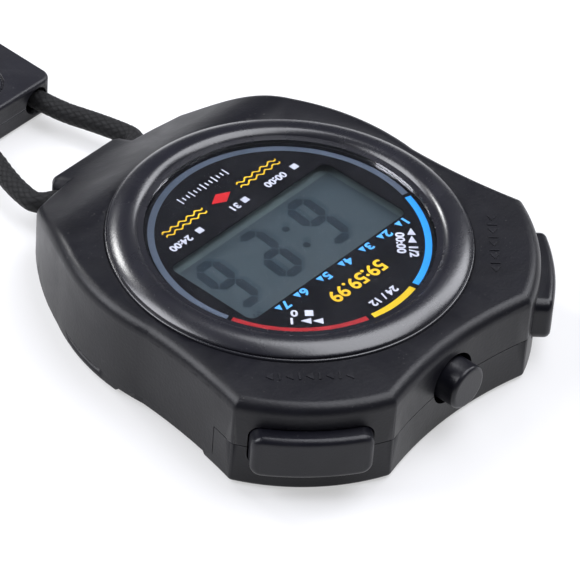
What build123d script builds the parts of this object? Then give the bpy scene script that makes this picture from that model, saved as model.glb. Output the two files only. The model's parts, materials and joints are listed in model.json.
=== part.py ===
from build123d import *
import math
import os

# A digital stopwatch on a lanyard. Millimetres. The origin is on the dial's axis at the back face,
# +Z comes out of the dial, +Y points to the mode button and the lanyard leaves towards -Y.

# ---- case ----
case_height = 15.0
corner_a = (31.3, 17.6)             # between flank and key facet
corner_b = (14.7, 32.9)             # between key facet and mode facet
facet_radius = 36.2
mode_facet_y = 31.1
mode_facet_rise = 0.45              # how far the mode facet bulges between its middle and its corner
flank_mid = (29.55, 7.5)
waist = (28.95, -1.0)
hip_mid = (28.3, -13.0)
hip = (24.9, -21.7)
tail_mid = (20.6, -29.1)
tail = (15.6, -35.0)
tail_end_y = -36.4
lug_half_width = 7.7
lug_end_y = -40.6
lug_corner = 1.3
lug_shoulder = 3.0
edge_round = 1.9
foot_round = 0.7
tail_round = 2.5
upright_round = 0.9
wall = 2.6
roof_z = 13.0
floor_z = 2.0
inner_corner_a = (28.92, 17.1)
inner_corner_b = (14.1, 30.5)
inner_flank_mid = (26.95, 7.5)
inner_waist = (26.35, -1.0)
inner_hip = (25.7, -12.4)
cavity_end = (22.1, -22.0)
relief_x = 25.0
relief_outline = [(-7.5, -1.0), (-5.5, 1.0), (11.5, 1.0), (13.0, -1.0)]
slope_curve = [(-21.0, 15.0), (-29.0, 15.0), (-33.0, 8.3), (-40.6, 6.2)]
above = 5.0                         # how far a cut reaches past the case
across = 80.0                       # wider than the whole case

# ---- where the two shells part ----
split_z = 7.1
split_step_y = 13.6
split_tail_y = -31.0
seam = 0.12

# ---- lanyard hole and cord ----
hole_radius = 2.1
hole_y = -36.9
hole_z = 4.0
scoop_y = -34.5
scoop_top = 6.6
scoop_length = 10.0
scoop_round = 1.0
cord_diameter = 3.2

# ---- dial opening, lens and bezel ----
dial_opening_radius = 19.6
card_seat_z = 14.2
card_seat_radius = 21.5
card_radius = 21.2
card_thickness = 0.3
lens_radius = 21.25
lens_bottom_z = 14.55
lens_thickness = 1.25
lens_chamfer = 0.3
bezel_inner_radius = 21.35
bezel_outer_radius = 26.5
bezel_crest_radius = 23.3
bezel_crest_half = 0.75
bezel_crest_drop = 0.1
bezel_shoulder = (0.85, 0.65)
bezel_lip = 0.75
bezel_height = 1.6
bezel_foot_radius = 23.1
bezel_groove_depth = 0.5
bezel_gap = 0.15
bezel_top = case_height + bezel_height
window_size = (33.6, 15.9)
window_centre = (0.4, 0.25)
window_corner = 1.4

# ---- keys ----
key_azimuth = 43.0                  # from +Y towards +X
key_z = 7.5
key_size = (17.2, 7.0)
key_corner = 1.8
key_radius = 38.6
key_depth = 10.0
key_gap = 0.2
key_edge = 1.0
key_travel = 1.0
key_back = 30.9
flange_size = (18.6, 8.2)
flange_radius = 33.3
stem_radius = 1.5
stem_tip = 26.0
rib_outer = 27.4
rib_thickness = 1.0
rib_width = 12.0
mode_z = 8.1
mode_button_radius = 3.4
mode_button_edge = 0.6
mode_button_end_y = 34.2
mode_hole_radius = 4.1
mode_flange_radius = 4.8
mode_flange_y = (27.0, 28.2)
mode_rib_outer = 23.6
mode_rib_width = 9.0
mode_stem_tip = 22.2
spring_radius = 2.5
stem_gap = 0.2
leaf_thickness = 0.25
leaf_size = (5.0, 3.6)
leaf_foot = 2.5
leaf_gap = 0.05
key_leaf_distance = stem_tip - key_travel - leaf_gap
mode_leaf_distance = mode_stem_tip - key_travel - leaf_gap

# ---- inside ----
board_z = 9.2
board_thickness = 1.0
board_radius = 24.4
board_cut = 21.7                    # where the board is cut straight towards -Y
board_notch = (14.5, 21.15)         # width, and where it starts in y
panel_size = (36.0, 21.0)
panel_z = 11.5
panel_thickness = 1.45
holder_size = (40.0, 25.0)
holder_fit = 0.1
holder_corner = 1.0
holder_play = 0.05
holder_ledge = 2.2
strip_width = 1.6
strip_length = 33.0
strip_y = 9.5                       # from the middle of the display to each strip
cell_centre = (-8.0, 8.0)
cell_radius = 5.8
cell_height = 5.4
cell_z = 3.4
cell_step = 0.8
holder_wall = 1.2
cell_fit = 0.15
plus_contact = (0.3, 3.2)
plus_x = cell_centre[0] - cell_radius - 0.45
minus_radius = 3.6
minus_hole_radius = 1.4
blob_centre = (9.0, 7.0)
blob_radius = 4.0
blob_height = 1.2
crystal_start = (-12.0, -5.0)
crystal_radius = 1.0
crystal_length = 6.0
chip_size = (1.25, 2.0, 0.6)
chip_places = [(15.5, 1.5), (17.5, 5.0), (17.0, 9.0), (3.5, 14.5), (6.5, 14.5), (-15.0, -10.0), (-12.0, -12.0)]
buzzer_centre = (8.0, -9.0)
buzzer_radius = 10.5
buzzer_plate = 0.3
buzzer_ceramic = 0.25
buzzer_spring_radii = (1.2, 0.8)

# ---- battery door ----
door_radius = 8.8
door_flange = 1.0
door_sink = 0.15
door_chamfer = 0.25
door_neck_radius = 6.9
door_cup_depth = 1.7
coin_slot = (11.0, 1.7, 0.6)
seal_width = 0.5
seal_height = 0.8
door_lug_radius = 8.3
door_lug_z = (2.2, 3.1)
door_gap = 0.08
door_lug_span = 36.0                # degrees
notch_gap = 0.3
notch_play = 8.0                    # degrees
door_open_angle = 60.0              # where the lugs meet their notches

# ---- screws ----
rib_foot_z = 4.0
screw_places = [(26.0, 8.5), (-26.0, 8.5), (9.5, 25.5), (-9.5, 25.5), (14.0, -26.0), (-14.0, -26.0)]
screw_radius = 0.8
screw_head_radius = 1.7
screw_head_height = 1.0
screw_tip_z = 8.5
screw_sink = 0.2
screw_gap = 0.15
recess_width = 0.35
post_radius = 2.3
board_post_radius = 1.35
board_screw_radius = 0.7
board_screw_length = 4.4
board_screw_head = (1.5, 0.8)
thread_fit = 0.02
board_screw_places = [(21.8, -6.0), (-21.8, -6.0), (0.0, -20.5)]

# ---- lanyard slider ----
slider_centre = (-0.5, -63.95)
slider_size = (20.2, 14.5, 6.4)
slider_corner = 2.0
slider_edge = 0.6
channel_half_spacing = 6.6
channel_radius = 1.95
channel_flare = 0.45
slider_z = 3.2
boss_radius = 4.8
boss_groove = 0.5
boss_groove_depth = 0.35
peg_radius = 1.0
peg_height = 1.6
peg_spacing = 4.0

# ---- coil of the cord that is put away ----
coil_centre = (-0.5, -112.4)
coil_radius = 18.0
coil_half_width = 6.4
coil_top_half_width = 4.8
coil_height = 6.0
coil_round = 0.8

# The cord's route from the coil round through the lug and back to the coil.
cord_route = [
    (9.0, -93.6, 2.3),
    (6.1, -81.0, 3.2),
    (6.1, -54.9, 3.2),
    (10.2, -44.9, 3.5),
    (11.1, -37.2, 3.9),
    (0.0, -36.7, 4.05),
    (-11.2, -37.2, 3.9),
    (-10.2, -44.9, 3.5),
    (-7.1, -54.9, 3.2),
    (-7.1, -81.0, 3.2),
    (-10.0, -93.6, 3.4),
]
ARC_SHARE = 0.45                    # how much of the shorter run an arc takes


def polar(azimuth, radius):
    """A point at an azimuth counted from +Y towards +X."""
    angle = math.radians(azimuth)
    return (radius * math.sin(angle), radius * math.cos(angle))


def mirrored(point):
    """The same point on the other side of the case."""
    return (-point[0], point[1])


def key_plane(azimuth, distance, height=key_z):
    """A plane across a key's line of travel, facing outwards."""
    angle = math.radians(azimuth)
    outwards = (math.sin(angle), math.cos(angle), 0)
    sideways = (-math.cos(angle), math.sin(angle), 0)
    place = (distance * outwards[0], distance * outwards[1], height)
    return Plane(origin=place, x_dir=sideways, z_dir=outwards)


def case_outline():
    """The case's outline, seen along Z."""
    facet_azimuth = (math.degrees(math.atan2(*corner_a)) + math.degrees(math.atan2(*corner_b))) / 2
    facet_mid = polar(facet_azimuth, facet_radius)
    with BuildSketch() as outline:
        with BuildLine():
            ThreePointArc((0, mode_facet_y), (corner_b[0] / 2, mode_facet_y + mode_facet_rise), corner_b)
            ThreePointArc(corner_b, facet_mid, corner_a)
            ThreePointArc(corner_a, flank_mid, waist)
            ThreePointArc(waist, hip_mid, hip)
            ThreePointArc(hip, tail_mid, tail)
            Polyline(tail, (lug_half_width + lug_shoulder, tail_end_y), (lug_half_width, tail_end_y - 0.5),
                     (lug_half_width, lug_end_y + lug_corner), (lug_half_width - lug_corner, lug_end_y),
                     (0, lug_end_y))
            mirror(about=Plane.YZ)
        make_face()
        fillet(outline.vertices().filter_by(lambda v: v.Y > 15 and abs(v.X) > 1), upright_round)
        fillet(outline.vertices().filter_by(lambda v: v.Y < -30 and abs(v.X) > 12), tail_round)
    return outline.sketch


def case_block():
    """The whole case as one solid, before it is hollowed and parted."""
    with BuildPart() as block:
        with BuildSketch(Plane.XY):
            add(case_outline())
        extrude(amount=case_height)
        with BuildSketch(Plane.YZ):
            with BuildLine():
                Bezier(*slope_curve)
                Polyline(slope_curve[-1], (slope_curve[-1][0], case_height + above),
                         (slope_curve[0][0], case_height + above), slope_curve[0])
            make_face()
        extrude(amount=across, both=True, mode=Mode.SUBTRACT)
        top_edges = block.edges().filter_by(lambda e: e.center().Z > 6.0 and e.geom_type != GeomType.LINE
                                            or (e.center().Z > 5.0 and abs(e.tangent_at(0.5).Z) < 0.9))
        fillet(top_edges, edge_round)
        fillet(block.edges().group_by(Axis.Z)[0], foot_round)
        for side in (1, -1):
            with BuildSketch(Plane.YZ.offset(side * relief_x)):
                with BuildLine():
                    Polyline(*relief_outline, close=True)
                make_face()
            extrude(amount=side * above * 2, mode=Mode.SUBTRACT)
    return block.part


def hollow_outline():
    """The outline of the cavity, about a wall's thickness inside the case."""
    facet_azimuth = (math.degrees(math.atan2(*corner_a)) + math.degrees(math.atan2(*corner_b))) / 2
    facet_mid = polar(facet_azimuth, facet_radius - wall)
    with BuildSketch() as hollow:
        with BuildLine():
            ThreePointArc(mirrored(inner_corner_b), (0, mode_facet_y - wall), inner_corner_b)
            ThreePointArc(inner_corner_b, facet_mid, inner_corner_a)
            ThreePointArc(inner_corner_a, inner_flank_mid, inner_waist)
            ThreePointArc(inner_waist, inner_hip, cavity_end)
            Line(cavity_end, mirrored(cavity_end))
            ThreePointArc(mirrored(inner_waist), mirrored(inner_hip), mirrored(cavity_end))
            ThreePointArc(mirrored(inner_corner_a), mirrored(inner_flank_mid), mirrored(inner_waist))
            ThreePointArc(mirrored(inner_corner_b), mirrored(facet_mid), mirrored(inner_corner_a))
        make_face()
    return hollow.sketch


def key_openings():
    """Where the three keys pass through the wall, as one tool."""
    with BuildPart() as openings:
        for azimuth in (key_azimuth, -key_azimuth):
            with BuildSketch(key_plane(azimuth, key_back)):
                RectangleRounded(key_size[0] + 2 * key_gap, key_size[1] + 2 * key_gap, key_corner + key_gap)
            extrude(amount=key_depth)
        with BuildSketch(key_plane(0, mode_flange_y[0], mode_z)):
            Circle(mode_hole_radius)
        extrude(amount=key_depth)
    return openings.part


def back_share(gap):
    """The share of the case that belongs to the back shell, larger by a gap at its seams."""
    with BuildPart() as share:
        with BuildSketch(Plane.XY.offset(-above)):
            with Locations((0, split_tail_y - gap + across / 2)):
                Rectangle(across, across)
        extrude(amount=floor_z + above)
        with BuildSketch(Plane.XY.offset(-above)):
            with Locations((0, split_step_y - gap + across / 2)):
                Rectangle(across, across)
        extrude(amount=split_z + gap + above)
    return share.part


def key_cap(azimuth):
    """A START or RESET key: cap, flange and stem."""
    with BuildPart() as cap:
        with BuildSketch(key_plane(azimuth, key_back)):
            RectangleRounded(*key_size, key_corner)
        extrude(amount=key_depth)
        Cylinder(key_radius, across, mode=Mode.INTERSECT)
        rim = cap.faces().sort_by(Axis((0, 0, key_z), key_plane(azimuth, 0).z_dir))[-1]
        fillet(rim.edges(), key_edge)
        add(key_flange(azimuth))
        with BuildSketch(key_plane(azimuth, stem_tip)):
            Circle(stem_radius)
        extrude(amount=flange_radius - stem_tip)
    return cap.part


def key_flange(azimuth):
    """The flange that keeps a key behind its wall."""
    with BuildPart() as flange:
        with BuildSketch(key_plane(azimuth, key_back)):
            RectangleRounded(*flange_size, key_corner)
        extrude(amount=key_depth)
        Cylinder(flange_radius, across, mode=Mode.INTERSECT)
    return flange.part


def spring_between(plane, length):
    """A return spring's envelope: a tube along its axis."""
    with BuildPart() as spring:
        with BuildSketch(plane):
            Circle(spring_radius)
            Circle(stem_radius + stem_gap, mode=Mode.SUBTRACT)
        extrude(amount=length)
    return spring.part


def contact_leaf(azimuth, distance, height=key_z):
    """A contact leaf that hangs in front of a stem from the underside of the board."""
    plane = key_plane(azimuth, distance, height)
    foot_place = polar(azimuth, distance) + (board_z - leaf_thickness,)
    foot = Plane(origin=foot_place, x_dir=plane.x_dir, z_dir=(0, 0, 1))
    with BuildPart() as leaf:
        with BuildSketch(plane):
            with Locations((0, board_z - height - leaf_size[1] / 2)):
                Rectangle(*leaf_size)
        extrude(amount=-leaf_thickness)
        with BuildSketch(foot):
            with Locations((0, leaf_foot / 2)):
                Rectangle(leaf_size[0], leaf_foot)
        extrude(amount=leaf_thickness)
    return leaf.part


def door_lug_sector(radius, angle, span):
    """A sector of a disc about the battery door's axis, in its own place."""
    half = span / 2
    with BuildSketch() as sector:
        with BuildLine():
            start = PolarLine(cell_centre, radius, angle - half)
            end = PolarLine(cell_centre, radius, angle + half)
            mid = Vector(*cell_centre) + Vector(radius, 0).rotate(Axis.Z, angle)
            ThreePointArc(start @ 1, mid, end @ 1)
        make_face()
    return sector.sketch


def screw_set(places, head_z, tip_z, shank, head, head_height):
    """Pan head screws driven along +Z, as one group of separate solids."""
    with BuildPart() as screws:
        for place in places:
            with BuildSketch(Plane.XY.offset(head_z)):
                with Locations(place):
                    Circle(head)
            extrude(amount=head_height)
            with BuildSketch(Plane.XY.offset(head_z + head_height)):
                with Locations(place):
                    Circle(shank)
            extrude(amount=tip_z - head_z - head_height)
            with BuildSketch(Plane.XY.offset(head_z)):
                with Locations(place):
                    Rectangle(1.6 * head, recess_width)
                    Rectangle(recess_width, 1.6 * head)
            extrude(amount=0.45 * head_height, mode=Mode.SUBTRACT)
    return screws.part


# ---- front case ----
with BuildPart() as front_case:
    add(case_block())
    add(back_share(seam), mode=Mode.SUBTRACT)
    with BuildSketch(Plane.XY):
        add(hollow_outline())
    extrude(amount=roof_z, mode=Mode.SUBTRACT)
    with BuildSketch(Plane.XY.offset(floor_z)):
        with Locations(*screw_places[:4]):
            Circle(post_radius)
    extrude(amount=roof_z - floor_z)
    with BuildSketch(Plane.XY.offset(board_z + board_thickness)):
        with Locations(*board_screw_places):
            Circle(board_post_radius)
    extrude(amount=roof_z - board_z - board_thickness)
    for azimuth, outer, width, height in ((key_azimuth, rib_outer, rib_width, key_z),
                                          (-key_azimuth, rib_outer, rib_width, key_z),
                                          (0, mode_rib_outer, mode_rib_width, mode_z)):
        with BuildSketch(key_plane(azimuth, outer, height)):
            with Locations((0, (rib_foot_z + roof_z) / 2 - height)):
                Rectangle(width, roof_z - rib_foot_z)
            Circle(stem_radius + stem_gap, mode=Mode.SUBTRACT)
        extrude(amount=-rib_thickness)
    with BuildSketch(Plane.XY.offset(roof_z - 1.0)):
        Circle(dial_opening_radius)
    extrude(amount=above, mode=Mode.SUBTRACT)
    with BuildSketch(Plane.XY.offset(card_seat_z)):
        Circle(card_seat_radius)
    extrude(amount=above, mode=Mode.SUBTRACT)
    with BuildSketch(Plane.XY.offset(case_height - bezel_groove_depth)):
        Circle(bezel_outer_radius + bezel_gap)
        Circle(bezel_foot_radius - bezel_gap, mode=Mode.SUBTRACT)
    extrude(amount=above, mode=Mode.SUBTRACT)
    add(key_openings(), mode=Mode.SUBTRACT)
    with BuildSketch(Plane.YZ):
        with Locations((hole_y, hole_z)):
            Circle(hole_radius)
    extrude(amount=across, both=True, mode=Mode.SUBTRACT)
    for side in (1, -1):
        with BuildSketch(Plane.YZ.offset(side * lug_half_width)):
            with Locations((scoop_y - scoop_length / 2, scoop_top / 2 - scoop_round)):
                RectangleRounded(scoop_length, scoop_top + 2 * scoop_round, scoop_round)
        extrude(amount=side * across, mode=Mode.SUBTRACT)
    with BuildSketch(Plane.XY):
        with Locations(*screw_places):
            Circle(screw_radius + thread_fit)
    extrude(amount=screw_tip_z + screw_sink, mode=Mode.SUBTRACT)
    with BuildSketch(Plane.XY.offset(board_z)):
        with Locations(*board_screw_places):
            Circle(board_screw_radius + thread_fit)
    extrude(amount=board_screw_length + screw_sink, mode=Mode.SUBTRACT)
front_case.part.label = "front_case"

# ---- back case ----
with BuildPart() as back_case:
    add(case_block())
    add(back_share(0), mode=Mode.INTERSECT)
    with BuildSketch(Plane.XY.offset(floor_z)):
        add(hollow_outline())
    extrude(amount=roof_z, mode=Mode.SUBTRACT)
    add(key_openings(), mode=Mode.SUBTRACT)
    with BuildSketch(Plane.XY):
        with Locations(*screw_places):
            Circle(screw_head_radius + screw_gap)
    extrude(amount=screw_head_height + screw_sink, mode=Mode.SUBTRACT)
    with BuildSketch(Plane.XY):
        with Locations(*screw_places):
            Circle(screw_radius + screw_gap)
    extrude(amount=floor_z, mode=Mode.SUBTRACT)
    with BuildSketch(Plane.XY):
        with Locations(cell_centre):
            Circle(door_radius + door_gap)
    extrude(amount=door_flange + door_gap, mode=Mode.SUBTRACT)
    with BuildSketch(Plane.XY):
        with Locations(cell_centre):
            Circle(door_neck_radius + seal_width + door_gap)
        for turn in (0, 180):
            add(door_lug_sector(door_lug_radius + notch_gap, door_open_angle + turn,
                                door_lug_span + notch_play))
    extrude(amount=floor_z, mode=Mode.SUBTRACT)
back_case.part.label = "back_case"

# ---- battery door and its seal ----
with BuildPart() as battery_door:
    with BuildSketch(Plane.XY.offset(door_sink)):
        with Locations(cell_centre):
            Circle(door_radius)
    extrude(amount=door_flange - door_sink)
    chamfer(battery_door.edges().group_by(Axis.Z)[0], door_chamfer)
    with BuildSketch(Plane.XY.offset(door_flange)):
        with Locations(cell_centre):
            Circle(door_neck_radius)
    extrude(amount=door_lug_z[1] - door_flange)
    for turn in (0, 180):
        with BuildSketch(Plane.XY.offset(door_lug_z[0])):
            add(door_lug_sector(door_lug_radius, turn, door_lug_span))
        extrude(amount=door_lug_z[1] - door_lug_z[0])
    with BuildSketch(Plane.XY.offset(door_lug_z[1] - door_cup_depth)):
        with Locations(cell_centre):
            Circle(door_neck_radius - holder_wall)
    extrude(amount=above, mode=Mode.SUBTRACT)
    with BuildSketch(Plane.XY):
        with Locations(cell_centre):
            SlotOverall(coin_slot[0], coin_slot[1])
    extrude(amount=door_sink + coin_slot[2], mode=Mode.SUBTRACT)
battery_door.part.label = "battery_door"

with BuildPart() as battery_door_seal:
    with BuildSketch(Plane.XY.offset(door_flange + door_gap)):
        with Locations(cell_centre):
            Circle(door_neck_radius + seal_width)
            Circle(door_neck_radius, mode=Mode.SUBTRACT)
    extrude(amount=seal_height)
battery_door_seal.part.label = "battery_door_seal"

# ---- screws ----
with BuildPart() as case_screws:
    add(screw_set(screw_places, screw_sink, screw_tip_z, screw_radius, screw_head_radius, screw_head_height))
case_screws.part.label = "case_screws"

# ---- dial, lens and bezel ----
with BuildPart() as dial_card:
    with BuildSketch(Plane.XY.offset(card_seat_z)):
        Circle(card_radius)
        with Locations(window_centre):
            RectangleRounded(*window_size, window_corner, mode=Mode.SUBTRACT)
    extrude(amount=card_thickness)
dial_card.part.label = "dial_card"

with BuildPart() as lens:
    with BuildSketch(Plane.XY.offset(lens_bottom_z)):
        Circle(lens_radius)
    extrude(amount=lens_thickness)
    chamfer(lens.edges().group_by(Axis.Z)[-1], lens_chamfer)
lens.part.label = "lens"

with BuildPart() as bezel_ring:
    with BuildSketch(Plane.XZ):
        with BuildLine():
            bottom = case_height - bezel_groove_depth
            lip = (bezel_inner_radius, case_height + bezel_lip)
            crest_start = (bezel_crest_radius - bezel_crest_half, bezel_top - bezel_crest_drop)
            crest_end = (bezel_crest_radius + bezel_crest_half, bezel_top - bezel_crest_drop)
            shoulder = (bezel_outer_radius - bezel_shoulder[0], bezel_top - bezel_shoulder[1])
            rim = (bezel_outer_radius, case_height + bezel_crest_drop)
            Polyline((bezel_inner_radius, case_height), lip, crest_start)
            ThreePointArc(crest_start, (bezel_crest_radius, bezel_top), crest_end)
            ThreePointArc(crest_end, shoulder, rim)
            Polyline(rim, (bezel_outer_radius, bottom), (bezel_foot_radius, bottom),
                     (bezel_foot_radius, case_height), (bezel_inner_radius, case_height))
        make_face()
    revolve(axis=Axis.Z)
bezel_ring.part.label = "bezel_ring"

# ---- keys ----
with BuildPart() as start_button:
    add(key_cap(key_azimuth))
start_button.part.label = "start_button"

with BuildPart() as reset_button:
    add(key_cap(-key_azimuth))
reset_button.part.label = "reset_button"

with BuildPart() as mode_button:
    with BuildSketch(key_plane(0, mode_flange_y[0], mode_z)):
        Circle(mode_button_radius)
    extrude(amount=mode_button_end_y - mode_flange_y[0])
    fillet(mode_button.edges().sort_by(Axis.Y)[-1], mode_button_edge)
    with BuildSketch(key_plane(0, mode_flange_y[0], mode_z)):
        Circle(mode_flange_radius)
    extrude(amount=mode_flange_y[1] - mode_flange_y[0])
    with BuildSketch(key_plane(0, mode_stem_tip, mode_z)):
        Circle(stem_radius)
    extrude(amount=mode_flange_y[1] - mode_stem_tip)
mode_button.part.label = "mode_button"

with BuildPart() as start_spring:
    add(spring_between(key_plane(key_azimuth, rib_outer), key_back - rib_outer))
start_spring.part.label = "start_spring"

with BuildPart() as reset_spring:
    add(spring_between(key_plane(-key_azimuth, rib_outer), key_back - rib_outer))
reset_spring.part.label = "reset_spring"

with BuildPart() as mode_spring:
    add(spring_between(key_plane(0, mode_rib_outer, mode_z), mode_flange_y[0] - mode_rib_outer))
mode_spring.part.label = "mode_spring"

with BuildPart() as start_contact:
    add(contact_leaf(key_azimuth, key_leaf_distance))
start_contact.part.label = "start_contact"

with BuildPart() as reset_contact:
    add(contact_leaf(-key_azimuth, key_leaf_distance))
reset_contact.part.label = "reset_contact"

with BuildPart() as mode_contact:
    add(contact_leaf(0, mode_leaf_distance, mode_z))
mode_contact.part.label = "mode_contact"

# ---- display ----
with BuildPart() as lcd_panel:
    with BuildSketch(Plane.XY.offset(panel_z)):
        with Locations(window_centre):
            Rectangle(*panel_size)
    extrude(amount=panel_thickness)
lcd_panel.part.label = "lcd_panel"

with BuildPart() as connector_strips:
    with BuildSketch(Plane.XY.offset(board_z + board_thickness)):
        with Locations((window_centre[0], window_centre[1] + strip_y),
                       (window_centre[0], window_centre[1] - strip_y)):
            Rectangle(strip_length, strip_width)
    extrude(amount=panel_z - board_z - board_thickness)
connector_strips.part.label = "connector_strips"

with BuildPart() as lcd_holder:
    with BuildSketch(Plane.XY.offset(board_z + board_thickness)):
        with Locations(window_centre):
            RectangleRounded(*holder_size, holder_corner)
            Rectangle(panel_size[0] + 2 * holder_fit, panel_size[1] + 2 * holder_fit, mode=Mode.SUBTRACT)
    extrude(amount=roof_z - holder_play - board_z - board_thickness)
    with BuildSketch(Plane.XY.offset(board_z + board_thickness)):
        with Locations(window_centre):
            Rectangle(holder_size[0] - holder_corner, holder_size[1] - holder_corner)
            Rectangle(panel_size[0] - holder_ledge, panel_size[1] - 2 * holder_ledge, mode=Mode.SUBTRACT)
            with Locations((0, strip_y), (0, -strip_y)):
                Rectangle(strip_length + 2 * holder_fit, strip_width + 2 * holder_fit, mode=Mode.SUBTRACT)
    extrude(amount=panel_z - board_z - board_thickness - holder_play)
lcd_holder.part.label = "lcd_holder"

# ---- circuit board and what is on it ----
with BuildPart() as circuit_board:
    with BuildSketch(Plane.XY.offset(board_z)):
        Circle(board_radius)
        with Locations((0, board_notch[1] + across / 2)):
            Rectangle(board_notch[0], across, mode=Mode.SUBTRACT)
        with Locations(*board_screw_places):
            Circle(board_screw_radius + holder_fit, mode=Mode.SUBTRACT)
        with Locations((0, -board_cut - across / 2)):
            Rectangle(across, across, mode=Mode.SUBTRACT)
    extrude(amount=board_thickness)
circuit_board.part.label = "circuit_board"

with BuildPart() as chip_blob:
    with BuildSketch(Plane.XY.offset(board_z)):
        with Locations(blob_centre):
            Circle(blob_radius)
    extrude(amount=-blob_height)
    fillet(chip_blob.edges().group_by(Axis.Z)[0], 0.8 * blob_height)
chip_blob.part.label = "chip_blob"

with BuildPart() as quartz_crystal:
    with BuildSketch(Plane.YZ.offset(crystal_start[0])):
        with Locations((crystal_start[1], board_z - crystal_radius - leaf_gap)):
            Circle(crystal_radius)
    extrude(amount=crystal_length)
    fillet(quartz_crystal.edges().group_by(Axis.X)[0], 0.4 * crystal_radius)
quartz_crystal.part.label = "quartz_crystal"

with BuildPart() as chip_parts:
    with BuildSketch(Plane.XY.offset(board_z)):
        with Locations(*chip_places):
            Rectangle(chip_size[0], chip_size[1])
    extrude(amount=-chip_size[2])
chip_parts.part.label = "chip_parts"

with BuildPart() as board_screws:
    with BuildSketch(Plane.XY.offset(board_z)):
        with Locations(*board_screw_places):
            Circle(board_screw_head[0])
    extrude(amount=-board_screw_head[1])
    with BuildSketch(Plane.XY.offset(board_z)):
        with Locations(*board_screw_places):
            Circle(board_screw_radius)
    extrude(amount=board_screw_length)
board_screws.part.label = "board_screws"

# ---- battery, holder and contacts ----
with BuildPart() as battery_holder:
    with BuildSketch(Plane.XY.offset(cell_z)):
        with Locations(cell_centre):
            Circle(cell_radius + cell_fit + holder_wall)
            Circle(cell_radius + cell_fit, mode=Mode.SUBTRACT)
        with Locations((cell_centre[0] - cell_radius - 1.0, cell_centre[1])):
            Rectangle(3.0, plus_contact[1] + cell_step, mode=Mode.SUBTRACT)
    extrude(amount=board_z - cell_z)
battery_holder.part.label = "battery_holder"

with BuildPart() as button_cell:
    with BuildSketch(Plane.XY.offset(cell_z)):
        with Locations(cell_centre):
            Circle(cell_radius)
    extrude(amount=cell_height - cell_step)
    fillet(button_cell.edges().group_by(Axis.Z)[0], 0.5)
    with BuildSketch(Plane.XY.offset(cell_z + cell_height - cell_step)):
        with Locations(cell_centre):
            Circle(cell_radius - cell_step)
    extrude(amount=cell_step)
button_cell.part.label = "button_cell"

with BuildPart() as battery_plus_contact:
    with BuildSketch(Plane.XY.offset(cell_z + cell_step)):
        with Locations((plus_x, cell_centre[1])):
            Rectangle(*plus_contact)
    extrude(amount=board_z - cell_z - cell_step)
    with BuildSketch(Plane.XY.offset(board_z - plus_contact[0])):
        with Locations((plus_x - leaf_foot / 2, cell_centre[1])):
            Rectangle(leaf_foot, plus_contact[1])
    extrude(amount=plus_contact[0])
battery_plus_contact.part.label = "battery_plus_contact"

with BuildPart() as battery_minus_contact:
    with BuildSketch(Plane.XY.offset(cell_z + cell_height)):
        with Locations(cell_centre):
            Circle(minus_radius)
            Circle(minus_hole_radius, mode=Mode.SUBTRACT)
    extrude(amount=board_z - cell_z - cell_height)
battery_minus_contact.part.label = "battery_minus_contact"

# ---- buzzer ----
with BuildPart() as buzzer_disc:
    with BuildSketch(Plane.XY.offset(floor_z)):
        with Locations(buzzer_centre):
            Circle(buzzer_radius)
    extrude(amount=buzzer_plate)
    with BuildSketch(Plane.XY.offset(floor_z + buzzer_plate)):
        with Locations(buzzer_centre):
            Circle(0.7 * buzzer_radius)
    extrude(amount=buzzer_ceramic)
buzzer_disc.part.label = "buzzer_disc"

with BuildPart() as buzzer_springs:
    for reach, foot in ((2.5, floor_z + buzzer_plate + buzzer_ceramic), (9.0, floor_z + buzzer_plate)):
        with BuildSketch(Plane.XY.offset(foot)):
            with Locations((buzzer_centre[0], buzzer_centre[1] - reach)):
                Circle(buzzer_spring_radii[0])
                Circle(buzzer_spring_radii[1], mode=Mode.SUBTRACT)
        extrude(amount=board_z - foot)
buzzer_springs.part.label = "buzzer_springs"

# ---- lanyard slider: two halves that snap together round the cord ----
def slider_half(low, high):
    """One half of the slider between two heights, with its share of the two channels."""
    with BuildPart() as half:
        with BuildSketch(Plane.XY):
            with Locations(slider_centre):
                RectangleRounded(slider_size[0], slider_size[1], slider_corner)
        extrude(amount=slider_size[2])
        fillet(half.edges().group_by(Axis.Z)[-1], slider_edge)
        fillet(half.edges().group_by(Axis.Z)[0], slider_edge)
        for side in (1, -1):
            channel_x = slider_centre[0] + side * channel_half_spacing
            with BuildSketch(Plane.XZ):
                with Locations((channel_x, slider_z)):
                    Circle(channel_radius)
            extrude(amount=2 * across, mode=Mode.SUBTRACT)
            for end in (1, -1):
                mouth = slider_centre[1] + end * slider_size[1] / 2
                mouth_plane = Plane(origin=(channel_x, mouth, slider_z), x_dir=(1, 0, 0), z_dir=(0, -end, 0))
                with BuildSketch(mouth_plane):
                    Circle(channel_radius + channel_flare)
                extrude(amount=2 * channel_flare, taper=26.5, mode=Mode.SUBTRACT)
        with BuildSketch(Plane.XY.offset(low)):
            with Locations(slider_centre):
                Rectangle(across, across)
        extrude(amount=high - low, mode=Mode.INTERSECT)
    return half.part


with BuildPart() as slider_base:
    add(slider_half(-above, slider_z))
    with BuildSketch(Plane.XY.offset(slider_z)):
        with Locations((slider_centre[0], slider_centre[1] + peg_spacing),
                       (slider_centre[0], slider_centre[1] - peg_spacing)):
            Circle(peg_radius)
    extrude(amount=peg_height)
slider_base.part.label = "slider_base"

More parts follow.
